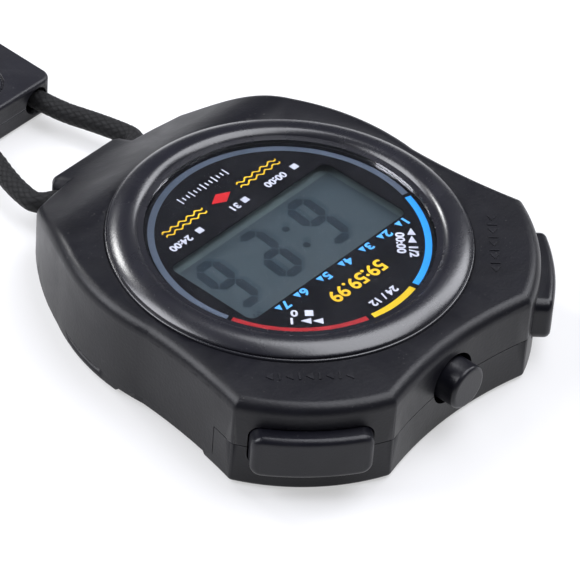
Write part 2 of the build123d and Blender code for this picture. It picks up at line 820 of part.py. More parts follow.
with BuildPart() as slider_cover:
    add(slider_half(slider_z, slider_size[2] + above))
    with BuildSketch(Plane.XY.offset(slider_z)):
        with Locations((slider_centre[0], slider_centre[1] + peg_spacing),
                       (slider_centre[0], slider_centre[1] - peg_spacing)):
            Circle(peg_radius + thread_fit)
    extrude(amount=peg_height + thread_fit, mode=Mode.SUBTRACT)
    with BuildSketch(Plane.XY.offset(slider_size[2] - boss_groove_depth)):
        with Locations(slider_centre):
            Circle(boss_radius)
            Circle(boss_radius - boss_groove, mode=Mode.SUBTRACT)
    extrude(amount=above, mode=Mode.SUBTRACT)
slider_cover.part.label = "slider_cover"

# ---- lanyard cord: straight runs joined by arcs ----
corners = [Vector(*point) for point in cord_route]
runs = [corners[i + 1] - corners[i] for i in range(len(corners) - 1)]
turns = [runs[i].get_angle(runs[i + 1]) for i in range(len(runs) - 1)]
radii = [ARC_SHARE * min(runs[i].length, runs[i + 1].length) / math.tan(math.radians(turns[i] / 2))
         for i in range(len(turns))]
for run, turn, radius in zip(runs, turns, radii):
    print("cord run", round(run.length, 1), "turn", round(turn, 1), "radius", round(radius, 1))

with BuildPart() as lanyard_cord:
    with BuildLine() as cord_path:
        FilletPolyline(*cord_route, radius=radii)
    with BuildSketch(Plane(origin=cord_path.line @ 0, z_dir=cord_path.line % 0)):
        Circle(cord_diameter / 2)
    sweep(transition=Transition.ROUND)
lanyard_cord.part.label = "lanyard_cord"
section = math.pi * (cord_diameter / 2) ** 2
tube_length = sum(edge.length for edge in cord_path.edges())
print("tube length", tube_length, "volume ratio", lanyard_cord.part.volume / (section * tube_length))

with BuildPart() as lanyard_coil:
    with BuildSketch(Plane.XZ.offset(-coil_centre[1])) as coil_section:
        with BuildLine():
            Polyline((coil_centre[0] + coil_radius - coil_half_width, 0),
                     (coil_centre[0] + coil_radius + coil_half_width, 0),
                     (coil_centre[0] + coil_radius + coil_half_width, cord_diameter * 0.6),
                     (coil_centre[0] + coil_radius + coil_top_half_width, coil_height),
                     (coil_centre[0] + coil_radius - coil_top_half_width, coil_height),
                     (coil_centre[0] + coil_radius - coil_half_width, cord_diameter * 0.6),
                     (coil_centre[0] + coil_radius - coil_half_width, 0))
        make_face()
        fillet(coil_section.vertices(), coil_round)
    revolve(axis=Axis((coil_centre[0], coil_centre[1], 0), (0, 0, 1)))
lanyard_coil.part.label = "lanyard_coil"

os.makedirs("parts", exist_ok=True)
for piece in (front_case, back_case, battery_door, battery_door_seal, case_screws, dial_card, lens, bezel_ring,
              start_button, reset_button, mode_button, start_spring, reset_spring, mode_spring,
              start_contact, reset_contact, mode_contact, lcd_panel, connector_strips, lcd_holder,
              circuit_board, chip_blob, quartz_crystal, chip_parts, board_screws,
              battery_holder, button_cell, battery_plus_contact, battery_minus_contact,
              buzzer_disc, buzzer_springs, slider_base, slider_cover, lanyard_cord, lanyard_coil):
    export_step(piece.part, "parts/" + piece.part.label + ".step")
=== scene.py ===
import json
import math

import bmesh
import bpy
from mathutils import Matrix, Vector


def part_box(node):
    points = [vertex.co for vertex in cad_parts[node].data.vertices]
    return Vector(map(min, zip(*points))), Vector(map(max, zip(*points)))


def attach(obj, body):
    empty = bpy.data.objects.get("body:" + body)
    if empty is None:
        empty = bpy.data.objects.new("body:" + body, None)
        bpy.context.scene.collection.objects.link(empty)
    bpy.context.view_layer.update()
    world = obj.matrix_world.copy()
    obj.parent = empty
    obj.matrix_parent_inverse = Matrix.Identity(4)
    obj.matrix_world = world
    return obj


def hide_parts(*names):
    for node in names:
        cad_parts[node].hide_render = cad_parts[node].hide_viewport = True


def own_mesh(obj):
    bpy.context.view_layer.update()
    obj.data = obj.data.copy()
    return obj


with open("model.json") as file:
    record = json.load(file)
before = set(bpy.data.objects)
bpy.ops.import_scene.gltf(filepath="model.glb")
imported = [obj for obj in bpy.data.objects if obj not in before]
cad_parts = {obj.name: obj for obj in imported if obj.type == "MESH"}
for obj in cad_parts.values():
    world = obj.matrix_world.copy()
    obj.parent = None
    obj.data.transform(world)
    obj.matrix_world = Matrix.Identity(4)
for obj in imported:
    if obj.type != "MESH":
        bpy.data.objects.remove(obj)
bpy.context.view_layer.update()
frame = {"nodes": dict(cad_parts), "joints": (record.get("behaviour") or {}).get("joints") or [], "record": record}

# A digital stopwatch on a braided lanyard. Shapes are worked in millimetres and scaled to metres when a
# piece is finished. The origin is on the dial's axis at the back, +Z out of the dial, +Y to the mode button.

MM = 0.001


def low(node):
    """A CAD node's lowest corner in millimetres."""
    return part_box(node)[0] / MM


def high(node):
    """A CAD node's highest corner in millimetres."""
    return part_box(node)[1] / MM


def new_object(name, data):
    """An object in the scene, made from its data."""
    made = bpy.data.objects.new(name, data)
    bpy.context.collection.objects.link(made)
    return made


# ---- camera ----
VIEW_AZIMUTH = math.radians(38.604)
VIEW_ELEVATION = math.radians(41.171)
VIEW_ROLL = math.radians(4.519)
VIEW_DISTANCE = 0.636
VIEW_TARGET = Vector((2.614, 2.867, 8.48)) * MM
VIEW_LENS = 275.6
VIEW_CLIP = (0.02, 20.0)


def make_camera():
    """The camera, at its azimuth and elevation and rolled a little."""
    camera = new_object("camera", bpy.data.cameras.new("camera"))
    camera.data.lens = VIEW_LENS
    camera.data.clip_start, camera.data.clip_end = VIEW_CLIP
    backwards = Vector((math.cos(VIEW_ELEVATION) * math.cos(VIEW_AZIMUTH),
                        math.cos(VIEW_ELEVATION) * math.sin(VIEW_AZIMUTH), math.sin(VIEW_ELEVATION)))
    level_right = Vector((0, 0, 1)).cross(backwards).normalized()
    level_up = backwards.cross(level_right)
    right = level_right * math.cos(VIEW_ROLL) + level_up * math.sin(VIEW_ROLL)
    up = level_up * math.cos(VIEW_ROLL) - level_right * math.sin(VIEW_ROLL)
    camera.matrix_world = Matrix.Translation(VIEW_TARGET + VIEW_DISTANCE * backwards) @ Matrix(
        (right, up, backwards)).transposed().to_4x4()
    bpy.context.scene.camera = camera


make_camera()

# ---- lanyard cord: its route ----
CORD_DIAMETER = 3.2
CORD_SIDES = 24
CORD_STEP = 0.42  # spacing of the finished cord's rings
PATH_EVERY = 4  # rings from one point of the cord's path to the next
COIL_CENTRE = (-0.5, -112.4)
TURN_POINTS = 16
TURN_RADII = [22.8, 19.6, 16.4, 13.2, 14.8, 18.0, 21.2]
BOTTOM_TURNS = 4
BOTTOM_Z = 1.6
TOP_Z = 4.4
CROSSING_Z = 4.9  # where a turn of the top layer moves over to its next radius
FIRST_AZIMUTH = 60.0  # from +Y towards +X, where the cord joins the outer turn
SHIFT_START = 230.0  # degrees after that, where every turn moves to the next radius
SHIFT_SPAN = 60.0
COIL_END = 225.0  # how far round the last turn goes
LEG_OUT = [
    (0.25, -36.7, 4.05),
    (11.1, -37.2, 3.9),
    (10.2, -44.9, 3.5),
    (6.1, -54.9, 3.2),
    (6.1, -81.0, 3.2),
    (9.5, -88.5, 2.6),
    (14.5, -94.5, 1.8),
]
LEG_BACK = [
    (-19.4, -100.4, 4.9),
    (-15.8, -94.0, 4.8),
    (-10.6, -88.0, 4.0),
    (-7.1, -81.0, 3.2),
    (-7.1, -54.9, 3.2),
    (-10.2, -44.9, 3.5),
    (-11.2, -37.2, 3.9),
    (-0.25, -36.7, 4.05),
]


def smooth_step(share):
    """A share from 0 to 1 that starts and stops gently."""
    share = min(max(share, 0.0), 1.0)
    return share * share * (3 - 2 * share)


def coil_points():
    """The turns of the put-away coil: four on the table from the outside in, three on top of them."""
    step = 360.0 / TURN_POINTS
    outwards = 1 / math.cos(math.radians(step / 2))
    count = int((360.0 * (len(TURN_RADII) - 1) + COIL_END) / step)
    points = []
    for i in range(count + 1):
        swept = i * step
        turn = int(swept // 360.0)
        shift = smooth_step((swept % 360.0 - SHIFT_START) / SHIFT_SPAN)
        following = TURN_RADII[min(turn + 1, len(TURN_RADII) - 1)]
        radius = (TURN_RADII[turn] * (1 - shift) + following * shift) * outwards
        z = BOTTOM_Z
        if turn >= BOTTOM_TURNS:
            z = TOP_Z + (CROSSING_Z - TOP_Z) * (0 < shift < 1)
        if turn == BOTTOM_TURNS - 1:
            climb = smooth_step((swept % 360.0 - SHIFT_START + 2 * step) / (2 * step))
            z = BOTTOM_Z + (CROSSING_Z - BOTTOM_Z) * climb
        azimuth = math.radians(FIRST_AZIMUTH + swept)
        points.append((COIL_CENTRE[0] + radius * math.sin(azimuth),
                       COIL_CENTRE[1] + radius * math.cos(azimuth), z))
    return points


def cord_line():
    """The cord's smooth centreline, as evenly spaced points in millimetres."""
    route = LEG_OUT + coil_points() + LEG_BACK
    curve = bpy.data.curves.new("cord_route", "CURVE")
    curve.dimensions = "3D"
    spline = curve.splines.new("NURBS")
    spline.points.add(len(route) - 1)
    for point, (x, y, z) in zip(spline.points, route):
        point.co = (x, y, z, 1.0)
    spline.order_u = 3
    spline.use_endpoint_u = True
    spline.resolution_u = 16
    carrier = bpy.data.objects.new("cord_route", curve)
    line = bpy.data.meshes.new_from_object(carrier)
    points = [vertex.co.copy() for vertex in line.vertices]
    bpy.data.objects.remove(carrier)
    bpy.data.curves.remove(curve)
    bpy.data.meshes.remove(line)
    return points


def evenly_spaced(points, spacing):
    """The same line with its points evenly spaced, and its length."""
    travelled = [0.0]
    for a, b in zip(points, points[1:]):
        travelled.append(travelled[-1] + (b - a).length)
    count = round(travelled[-1] / spacing)
    result, i = [], 0
    for k in range(count + 1):
        wanted = travelled[-1] * k / count
        while i < len(points) - 2 and travelled[i + 1] < wanted:
            i += 1
        share = (wanted - travelled[i]) / max(travelled[i + 1] - travelled[i], 1e-9)
        result.append(points[i].lerp(points[i + 1], share))
    return result, travelled[-1]


def tube(name, points, radius_at, sides, cell):
    """A closed tube along points. Its UV map counts braid cells round and along the tube."""
    tangent = (points[1] - points[0]).normalized()
    across = tangent.orthogonal().normalized()
    vertices, travelled = [], [0.0]
    for i, centre in enumerate(points):
        ahead = (points[min(i + 1, len(points) - 1)] - points[max(i - 1, 0)]).normalized()
        across = (across - ahead * across.dot(ahead)).normalized()
        over = ahead.cross(across)
        if i:
            travelled.append(travelled[-1] + (centre - points[i - 1]).length)
        for k in range(sides):
            angle = 2 * math.pi * k / sides
            radius = radius_at(k / sides * cell[0], travelled[-1] / cell[1])
            vertices.append(centre + (across * math.cos(angle) + over * math.sin(angle)) * radius)
    faces = []
    for i in range(len(points) - 1):
        for k in range(sides):
            n = (k + 1) % sides
            faces.append((i * sides + k, i * sides + n, (i + 1) * sides + n, (i + 1) * sides + k))
    faces.append(tuple(reversed(range(sides))))
    faces.append(tuple(range(len(vertices) - sides, len(vertices))))
    mesh = bpy.data.meshes.new(name)
    mesh.from_pydata([vertex * MM for vertex in vertices], [], faces)
    layer = mesh.uv_layers.new(name="braid")
    for polygon in mesh.polygons[:-2]:
        i, k = divmod(polygon.index, sides)
        corners = ((k, i), (k + 1, i), (k + 1, i + 1), (k, i + 1))
        for loop, (around, along) in zip(polygon.loop_indices, corners):
            layer.data[loop].uv = (around / sides * cell[0], travelled[along] / cell[1])
    mesh.shade_smooth()
    return new_object(name, mesh)


BRAID_STRANDS = 10  # strands that run each way round the cord
BRAID_PITCH = 1.5  # length of a braid cell along the cord
BRAID_RELIEF = 0.11  # depth of the hollows between the strands


def braid_height(around, along):
    """How high a braided cord stands at a place, from 0 in a hollow to 1 on a strand."""
    a, b = around + along, around - along
    over = (math.floor(a) + math.floor(b)) % 2
    ridge = abs(2 * ((a if over else b) % 1.0) - 1)
    crown = abs(2 * ((b if over else a) % 1.0) - 1)
    return (1 - ridge ** 2) * (1 - 0.45 * crown ** 2)


def braid_radius(around, along):
    """The cord's radius at a place on the braid."""
    return CORD_DIAMETER / 2 - BRAID_RELIEF * (1 - braid_height(around, along))


def make_cord():
    """The braided cord, its path in metres and its length in metres."""
    line, length = evenly_spaced(cord_line(), CORD_STEP)
    cord = tube("lanyard_braid", line, braid_radius, CORD_SIDES, (BRAID_STRANDS, BRAID_PITCH))
    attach(cord, "case")
    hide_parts("lanyard_cord", "lanyard_coil")
    return cord, [point * MM for point in line[::PATH_EVERY]] + [line[-1] * MM], length * MM


braid, braid_path, cord_length = make_cord()


# ---- shader node groups ----
def add_node(tree, kind, sockets=None, **settings):
    """A node with its settings, and its inputs set to values or joined to other nodes' outputs."""
    made = tree.nodes.new(kind)
    for name, value in settings.items():
        setattr(made, name, value)
    for name, value in (sockets or {}).items():
        if isinstance(value, bpy.types.NodeSocket):
            tree.links.new(value, made.inputs[name])
        else:
            made.inputs[name].default_value = value
    return made


def math_node(tree, operation, *values, clamp=False):
    """The output of a Math node."""
    return add_node(tree, "ShaderNodeMath", dict(enumerate(values)), operation=operation,
                    use_clamp=clamp).outputs[0]


def map_range(tree, value, from_min, from_max, to_min, to_max):
    """The output of a Map Range node."""
    sockets = {"Value": value, "From Min": from_min, "From Max": from_max, "To Min": to_min, "To Max": to_max}
    return add_node(tree, "ShaderNodeMapRange", sockets).outputs["Result"]


def noise(tree, place, scale, detail=2.0, **more):
    """The value of a Noise Texture node."""
    sockets = {"Vector": place, "Scale": scale, "Detail": detail, **more}
    return add_node(tree, "ShaderNodeTexNoise", sockets).outputs[0]


def mix_colours(tree, factor, first, second):
    """The colour output of a Mix node."""
    mixer = add_node(tree, "ShaderNodeMix", data_type="RGBA", blend_type="MIX", clamp_factor=True)
    for socket, value in ((mixer.inputs[0], factor), (mixer.inputs[6], first), (mixer.inputs[7], second)):
        if isinstance(value, bpy.types.NodeSocket):
            tree.links.new(value, socket)
        else:
            socket.default_value = value
    return mixer.outputs[2]


def new_group(name, inputs, outputs):
    """A node group with named sockets: (name, kind, value) for an input, (name, kind) for an output."""
    tree = bpy.data.node_groups.new(name, "ShaderNodeTree")
    for socket_name, kind, value in inputs:
        socket = tree.interface.new_socket(socket_name, in_out="INPUT", socket_type=kind)
        if value is not None:
            socket.default_value = value
    for socket_name, kind in outputs:
        tree.interface.new_socket(socket_name, in_out="OUTPUT", socket_type=kind)
    return tree, tree.nodes.new("NodeGroupInput").outputs, tree.nodes.new("NodeGroupOutput").inputs


FLOAT, VECTOR = "NodeSocketFloat", "NodeSocketVector"


def moulded_grain_group():
    """The fine spark-eroded texture of a mould, with slow patches of lighter and darker plastic."""
    tree, given, result = new_group(
        "moulded grain", [("Vector", VECTOR, None), ("Grain Size", FLOAT, 0.0003)],
        [("Height", FLOAT), ("Tone", FLOAT)])
    scale = math_node(tree, "DIVIDE", 1.0, given["Grain Size"])
    pits = add_node(tree, "ShaderNodeTexVoronoi",
                    {"Vector": given["Vector"], "Scale": scale, "Randomness": 0.9})
    fine = noise(tree, given["Vector"], scale, 3.0, Roughness=0.6)
    patches = noise(tree, given["Vector"], 140.0, 4.0)
    pitted = math_node(tree, "MULTIPLY_ADD", pits.outputs["Distance"], 0.6,
                       math_node(tree, "MULTIPLY", fine, 0.6))
    tree.links.new(pitted, result["Height"])
    tree.links.new(map_range(tree, patches, 0.3, 0.7, 0.0, 1.0), result["Tone"])
    return tree


def edge_wear_group():
    """Where corners have been rubbed: near an edge, broken up by a fine noise."""
    tree, given, result = new_group(
        "edge wear", [("Vector", VECTOR, None), ("Edge Width", FLOAT, 0.0006), ("Amount", FLOAT, 1.0)],
        [("Mask", FLOAT)])
    rounded = add_node(tree, "ShaderNodeBevel", {"Radius": given["Edge Width"]}, samples=4)
    surface = add_node(tree, "ShaderNodeNewGeometry")
    agreement = add_node(tree, "ShaderNodeVectorMath",
                         {0: rounded.outputs[0], 1: surface.outputs["Normal"]}, operation="DOT_PRODUCT")
    edge = map_range(tree, agreement.outputs["Value"], 0.995, 0.9, 0.0, 1.0)
    broken = map_range(tree, noise(tree, given["Vector"], 900.0, 5.0), 0.42, 0.62, 0.0, 1.0)
    mask = math_node(tree, "MULTIPLY", math_node(tree, "MULTIPLY", edge, broken), given["Amount"], clamp=True)
    tree.links.new(mask, result["Mask"])
    return tree


def dust_group():
    """Specks of dust that lie on faces turned upwards."""
    tree, given, result = new_group(
        "dust", [("Vector", VECTOR, None), ("Amount", FLOAT, 1.0)], [("Mask", FLOAT)])
    surface = add_node(tree, "ShaderNodeNewGeometry")
    upwards = add_node(tree, "ShaderNodeSeparateXYZ", {0: surface.outputs["Normal"]}).outputs[2]
    lying = map_range(tree, upwards, 0.2, 1.0, 0.15, 1.0)
    speck = map_range(tree, noise(tree, given["Vector"], 2600.0), 0.69, 0.78, 0.0, 1.0)
    drift = map_range(tree, noise(tree, given["Vector"], 160.0, 3.0), 0.45, 0.7, 0.1, 1.0)
    mask = math_node(tree, "MULTIPLY", math_node(tree, "MULTIPLY", speck, drift),
                     math_node(tree, "MULTIPLY", lying, given["Amount"]), clamp=True)
    tree.links.new(mask, result["Mask"])
    return tree


def smears_group():
    """Finger smears and fine scratches, as a change of gloss."""
    tree, given, result = new_group(
        "smears", [("Vector", VECTOR, None), ("Low", FLOAT, 0.1), ("High", FLOAT, 0.3)],
        [("Roughness", FLOAT)])
    smears = noise(tree, given["Vector"], 90.0, 5.0, Distortion=1.6)
    stretched = add_node(tree, "ShaderNodeMapping", {"Vector": given["Vector"], "Scale": (1.0, 14.0, 1.0),
                                                     "Rotation": (0.0, 0.0, 0.6)})
    scratches = noise(tree, stretched.outputs[0], 700.0)
    worn = math_node(tree, "MULTIPLY_ADD", scratches, 0.15, math_node(tree, "MULTIPLY", smears, 0.85))
    spread = map_range(tree, worn, 0.35, 0.65, given["Low"], given["High"])
    tree.links.new(spread, result["Roughness"])
    return tree


def brushed_group():
    """The fine parallel lines of rolled or turned metal."""
    tree, given, result = new_group(
        "brushed metal", [("Vector", VECTOR, None), ("Stretch", VECTOR, (1.0, 30.0, 30.0))],
        [("Height", FLOAT), ("Tone", FLOAT)])
    stretched = add_node(tree, "ShaderNodeMapping", {"Vector": given["Vector"], "Scale": given["Stretch"]})
    stains = noise(tree, given["Vector"], 260.0, 3.0)
    tree.links.new(noise(tree, stretched.outputs[0], 160.0, 4.0), result["Height"])
    tree.links.new(map_range(tree, stains, 0.35, 0.7, 0.0, 1.0), result["Tone"])
    return tree


def braid_group():
    """A round braid over a UV map whose unit is one braid cell, with the threads of each strand."""
    tree, given, result = new_group(
        "braid", [("Vector", VECTOR, None), ("Threads", FLOAT, 5.0)], [("Height", FLOAT), ("Crown", FLOAT)])
    place = add_node(tree, "ShaderNodeSeparateXYZ", {0: given["Vector"]}).outputs
    right = math_node(tree, "ADD", place[0], place[1])
    left = math_node(tree, "SUBTRACT", place[0], place[1])
    cells = math_node(tree, "ADD", math_node(tree, "FLOOR", right), math_node(tree, "FLOOR", left))
    over = math_node(tree, "FLOORED_MODULO", cells, 2.0)

    def chosen(first, second):
        return add_node(tree, "ShaderNodeMix", {0: over, 2: second, 3: first}, data_type="FLOAT").outputs[0]

    def hump(value):
        share = math_node(tree, "FLOORED_MODULO", value, 1.0)
        centred = math_node(tree, "ABSOLUTE", math_node(tree, "MULTIPLY_ADD", share, 2.0, -1.0))
        return math_node(tree, "SUBTRACT", 1.0, math_node(tree, "MULTIPLY", centred, centred))

    across, along = chosen(right, left), chosen(left, right)
    crown = math_node(tree, "MULTIPLY", hump(across),
                      math_node(tree, "MULTIPLY_ADD", hump(along), 0.45, 0.55))
    threads = hump(math_node(tree, "MULTIPLY", across, given["Threads"]))
    tree.links.new(math_node(tree, "MULTIPLY_ADD", threads, 0.25, crown), result["Height"])
    tree.links.new(crown, result["Crown"])
    return tree


GRAIN = moulded_grain_group()
WEAR = edge_wear_group()
DUST = dust_group()
SMEARS = smears_group()
BRUSHED = brushed_group()
BRAID = braid_group()


def use_group(tree, group, sockets):
    """The outputs of a node group placed in a material, with its own values."""
    return add_node(tree, "ShaderNodeGroup", sockets, node_tree=group).outputs


# ---- materials ----
def shade(red, green, blue):
    """A display colour from 0 to 255 as linear light."""
    return tuple((c / 255 / 12.92 if c < 11 else ((c / 255 + 0.055) / 1.055) ** 2.4)
                 for c in (red, green, blue)) + (1.0,)


def new_material(name, **constants):
    """A material with a Principled shader whose constants are set on its own sockets."""
    material = bpy.data.materials.new(name)
    material.use_nodes = True
    tree = material.node_tree
    shader = tree.nodes["Principled BSDF"]
    for socket, value in constants.items():
        shader.inputs[socket.replace("_", " ")].default_value = value
    place = add_node(tree, "ShaderNodeTexCoord").outputs["Object"]
    return material, tree, shader, place


def give_bump(tree, shader, height, strength, distance):
    """A Bump node on the shader's normal, with its distance in metres."""
    bump = add_node(tree, "ShaderNodeBump", {"Height": height, "Strength": strength, "Distance": distance})
    tree.links.new(bump.outputs[0], shader.inputs["Normal"])


def give_gloss(tree, shader, place, low_gloss, high_gloss):
    """Roughness between two values, with finger smears."""
    gloss = use_group(tree, SMEARS, {"Vector": place, "Low": low_gloss, "High": high_gloss})["Roughness"]
    tree.links.new(gloss, shader.inputs["Roughness"])


def plastic(name, colour, lighter, rough, grain, depth, wear=0.5, dust=0.5, **constants):
    """Moulded plastic: colour, its lighter patches, roughness range, grain size and depth in millimetres."""
    material, tree, shader, place = new_material(name, **constants)
    texture = use_group(tree, GRAIN, {"Vector": place, "Grain Size": grain * MM})
    worn = use_group(tree, WEAR, {"Vector": place, "Edge Width": 0.5 * MM, "Amount": wear})["Mask"]
    specks = use_group(tree, DUST, {"Vector": place, "Amount": dust})["Mask"]
    base = mix_colours(tree, texture["Tone"], colour, lighter)
    rubbed = mix_colours(tree, math_node(tree, "MULTIPLY", worn, 0.35), base, shade(105, 105, 112))
    dusty = mix_colours(tree, math_node(tree, "MULTIPLY", specks, 0.5), rubbed, shade(165, 163, 160))
    tree.links.new(dusty, shader.inputs["Base Color"])
    give_gloss(tree, shader, place, *rough)
    give_bump(tree, shader, texture["Height"], 0.6, depth * MM)
    return material


def metal(name, colour, stained, rough, stretch, depth=0.004):
    """Bare metal: colour, its stained patches, roughness range and the direction of its lines."""
    material, tree, shader, place = new_material(name, Metallic=1.0)
    lines = use_group(tree, BRUSHED, {"Vector": place, "Stretch": stretch})
    tree.links.new(mix_colours(tree, lines["Tone"], colour, stained), shader.inputs["Base Color"])
    give_gloss(tree, shader, place, *rough)
    give_bump(tree, shader, lines["Height"], 0.5, depth * MM)
    return material


def print_ink(name, colour, faded):
    """Screen-printed ink: a matt film with a faint mottle."""
    material, tree, shader, place = new_material(name, Specular_IOR_Level=0.15)
    texture = use_group(tree, GRAIN, {"Vector": place, "Grain Size": 0.12 * MM})
    tree.links.new(mix_colours(tree, texture["Tone"], colour, faded), shader.inputs["Base Color"])
    give_gloss(tree, shader, place, 0.4, 0.55)
    give_bump(tree, shader, texture["Height"], 0.3, 0.004 * MM)
    return material


def lens_glass():
    """The clear lens. Lamps shine through it on to the dial."""
    material, tree, shader, place = new_material("clear lens", Transmission_Weight=1.0, IOR=1.49,
                                                  Specular_Tint=(0.5, 0.5, 0.55, 1.0))
    shader.inputs["Base Color"].default_value = (0.97, 0.98, 1.0, 1.0)
    give_gloss(tree, shader, place, 0.0, 0.035)
    clear = add_node(tree, "ShaderNodeBsdfTransparent", {"Color": (0.95, 0.96, 0.98, 1.0)})
    ray = add_node(tree, "ShaderNodeLightPath").outputs["Is Shadow Ray"]
    joined = add_node(tree, "ShaderNodeMixShader", {0: ray, 1: shader.outputs[0], 2: clear.outputs[0]})
    tree.links.new(joined.outputs[0], tree.nodes["Material Output"].inputs["Surface"])
    return material


def display_film():
    """The grey-green polariser of the display, a little uneven, with a fine satin grain."""
    material, tree, shader, place = new_material("display polariser", Specular_IOR_Level=0.15)
    texture = use_group(tree, GRAIN, {"Vector": place, "Grain Size": 0.15 * MM})
    film = mix_colours(tree, noise(tree, place, 55.0), shade(30, 40, 45), shade(40, 48, 51))
    tree.links.new(mix_colours(tree, math_node(tree, "MULTIPLY", texture["Tone"], 0.3), film,
                               shade(34, 44, 51)), shader.inputs["Base Color"])
    give_gloss(tree, shader, place, 0.4, 0.55)
    give_bump(tree, shader, texture["Height"], 0.3, 0.004 * MM)
    return material


def board_green():
    """Green solder mask over copper tracks."""
    material, tree, shader, place = new_material("circuit board mask", Coat_Weight=0.3)
    grid = add_node(tree, "ShaderNodeTexBrick", {"Vector": place, "Scale": 260.0, "Mortar Size": 0.09,
                                                 "Color1": (1, 1, 1, 1), "Color2": (0.6, 0.6, 0.6, 1),
                                                 "Mortar": (0, 0, 0, 1)})
    speck = use_group(tree, GRAIN, {"Vector": place, "Grain Size": 0.4 * MM})
    mask = mix_colours(tree, speck["Tone"], shade(16, 74, 42), shade(22, 88, 50))
    tracks = mix_colours(tree, math_node(tree, "MULTIPLY", grid.outputs["Fac"], 0.6), mask,
                         shade(48, 122, 70))
    tree.links.new(tracks, shader.inputs["Base Color"])
    give_gloss(tree, shader, place, 0.25, 0.4)
    give_bump(tree, shader, grid.outputs["Fac"], 0.5, 0.03 * MM)
    return material


def cord_braid():
    """Black polyester braid: rougher in the hollows; its colour is darker there, a painted shade, and lighter on
    each strand's crown, a painted sheen.
    """
    material, tree, shader, place = new_material("black braid", Sheen_Weight=0.06, Sheen_Roughness=0.4,
                                                  Specular_IOR_Level=0.3)
    cells = add_node(tree, "ShaderNodeUVMap", uv_map="braid").outputs[0]
    weave = use_group(tree, BRAID, {"Vector": cells, "Threads": 5.0})
    fuzz = use_group(tree, GRAIN, {"Vector": place, "Grain Size": 0.2 * MM})
    # painted shade and painted sheen: the colour darkens from each strand's crown into the hollows between strands
    base = mix_colours(tree, weave["Crown"], shade(3, 3, 4), shade(15, 15, 18))
    tree.links.new(mix_colours(tree, math_node(tree, "MULTIPLY", fuzz["Tone"], 0.4), base, shade(11, 11, 14)),
                   shader.inputs["Base Color"])
    tree.links.new(map_range(tree, weave["Crown"], 0.0, 1.0, 0.85, 0.6), shader.inputs["Roughness"])
    give_bump(tree, shader, weave["Height"], 0.8, 0.09 * MM)
    return material


def floor_paint():
    """The plain pale floor."""
    material, tree, shader, place = new_material("pale floor")
    tree.links.new(mix_colours(tree, noise(tree, place, 8.0), (0.36, 0.36, 0.37, 1), (0.39, 0.39, 0.4, 1)),
                   shader.inputs["Base Color"])
    shader.inputs["Roughness"].default_value = 0.9
    shader.inputs["Emission Color"].default_value = (1.0, 1.0, 1.0, 1.0)
    shader.inputs["Emission Strength"].default_value = 0.5
    return material


case_black = plastic("case plastic", shade(11, 11, 17), shade(15, 15, 22), (0.36, 0.45), 0.5, 0.035,
                     wear=0.25, dust=0.6, Specular_IOR_Level=0.26, Coat_Weight=0.1, Coat_Roughness=0.35)
bezel_black = plastic("bezel plastic", shade(19, 19, 26), shade(26, 26, 34), (0.24, 0.3), 0.4, 0.02,
                      wear=0.0, dust=0.5, Coat_Weight=0.5, Coat_Roughness=0.24)
key_black = plastic("key plastic", shade(14, 14, 20), shade(18, 18, 26), (0.3, 0.4), 0.35, 0.02,
                    wear=0.4, dust=0.3, Specular_IOR_Level=0.34)
slider_black = plastic("slider plastic", shade(20, 20, 26), shade(27, 27, 34), (0.38, 0.5), 0.35, 0.03,
                       wear=0.4, dust=0.5, Specular_IOR_Level=0.34)
dial_black = plastic("dial card lacquer", shade(7, 7, 10), shade(10, 10, 14), (0.16, 0.24), 0.2, 0.002,
                     wear=0.0, dust=0.25, Specular_IOR_Level=0.3)
holder_white = plastic("white plastic", shade(212, 210, 203), shade(222, 221, 216), (0.35, 0.5), 0.3, 0.01,
                       wear=0.0, dust=0.1)
seal_rubber = plastic("black rubber", shade(20, 20, 21), shade(30, 30, 31), (0.6, 0.8), 0.2, 0.02,
                      wear=0.0, dust=0.4)
epoxy = plastic("black epoxy", shade(16, 16, 17), shade(24, 24, 25), (0.15, 0.35), 0.6, 0.05,
                wear=0.0, dust=0.2)
ceramic = plastic("chip ceramic", shade(150, 120, 86), shade(172, 142, 104), (0.3, 0.5), 0.15, 0.01,
                  wear=0.2, dust=0.1)
display_edge = plastic("display glass edge", shade(62, 70, 72), shade(70, 80, 80), (0.1, 0.2), 0.3, 0.002,
                       wear=0.2, dust=0.1, Coat_Weight=0.5)
steel = metal("plated steel", shade(188, 188, 190), shade(150, 148, 146), (0.25, 0.45), (1.0, 1.0, 20.0))
spring_steel = metal("spring wire", shade(168, 168, 172), shade(120, 118, 116), (0.2, 0.35), (1.0, 8.0, 8.0))
contact_gold = metal("contact metal", shade(214, 190, 132), shade(184, 156, 98), (0.2, 0.4), (18.0, 1.0, 1.0))
buzzer_brass = metal("buzzer brass", shade(206, 172, 92), shade(170, 134, 64), (0.3, 0.5), (1.0, 24.0, 1.0))
cell_steel = metal("cell can", shade(200, 200, 202), shade(172, 172, 176), (0.18, 0.34), (24.0, 1.0, 1.0))
ink_white = print_ink("white ink", shade(150, 151, 159), shade(136, 137, 146))
ink_silver = print_ink("silver ink", shade(56, 64, 76), shade(49, 57, 68))
ink_yellow = print_ink("yellow ink", shade(178, 142, 14), shade(162, 126, 10))
ink_arc_yellow = print_ink("yellow arc ink", shade(162, 136, 8), shade(146, 121, 6))
ink_blue = print_ink("blue ink", shade(20, 112, 176), shade(16, 102, 164))
ink_pale_blue = print_ink("pale blue ink", shade(62, 130, 182), shade(50, 116, 168))
ink_red = print_ink("red ink", shade(118, 10, 17), shade(104, 7, 13))
ink_bright_red = print_ink("bright red ink", shade(146, 6, 14), shade(132, 4, 11))
ink_digit = print_ink("display digit", shade(12, 21, 28), shade(15, 25, 33))
ink_shadow = print_ink("display digit shadow", shade(27, 37, 43), shade(30, 41, 46))
glass = lens_glass()
polariser = display_film()
board_mask = board_green()
black_braid = cord_braid()

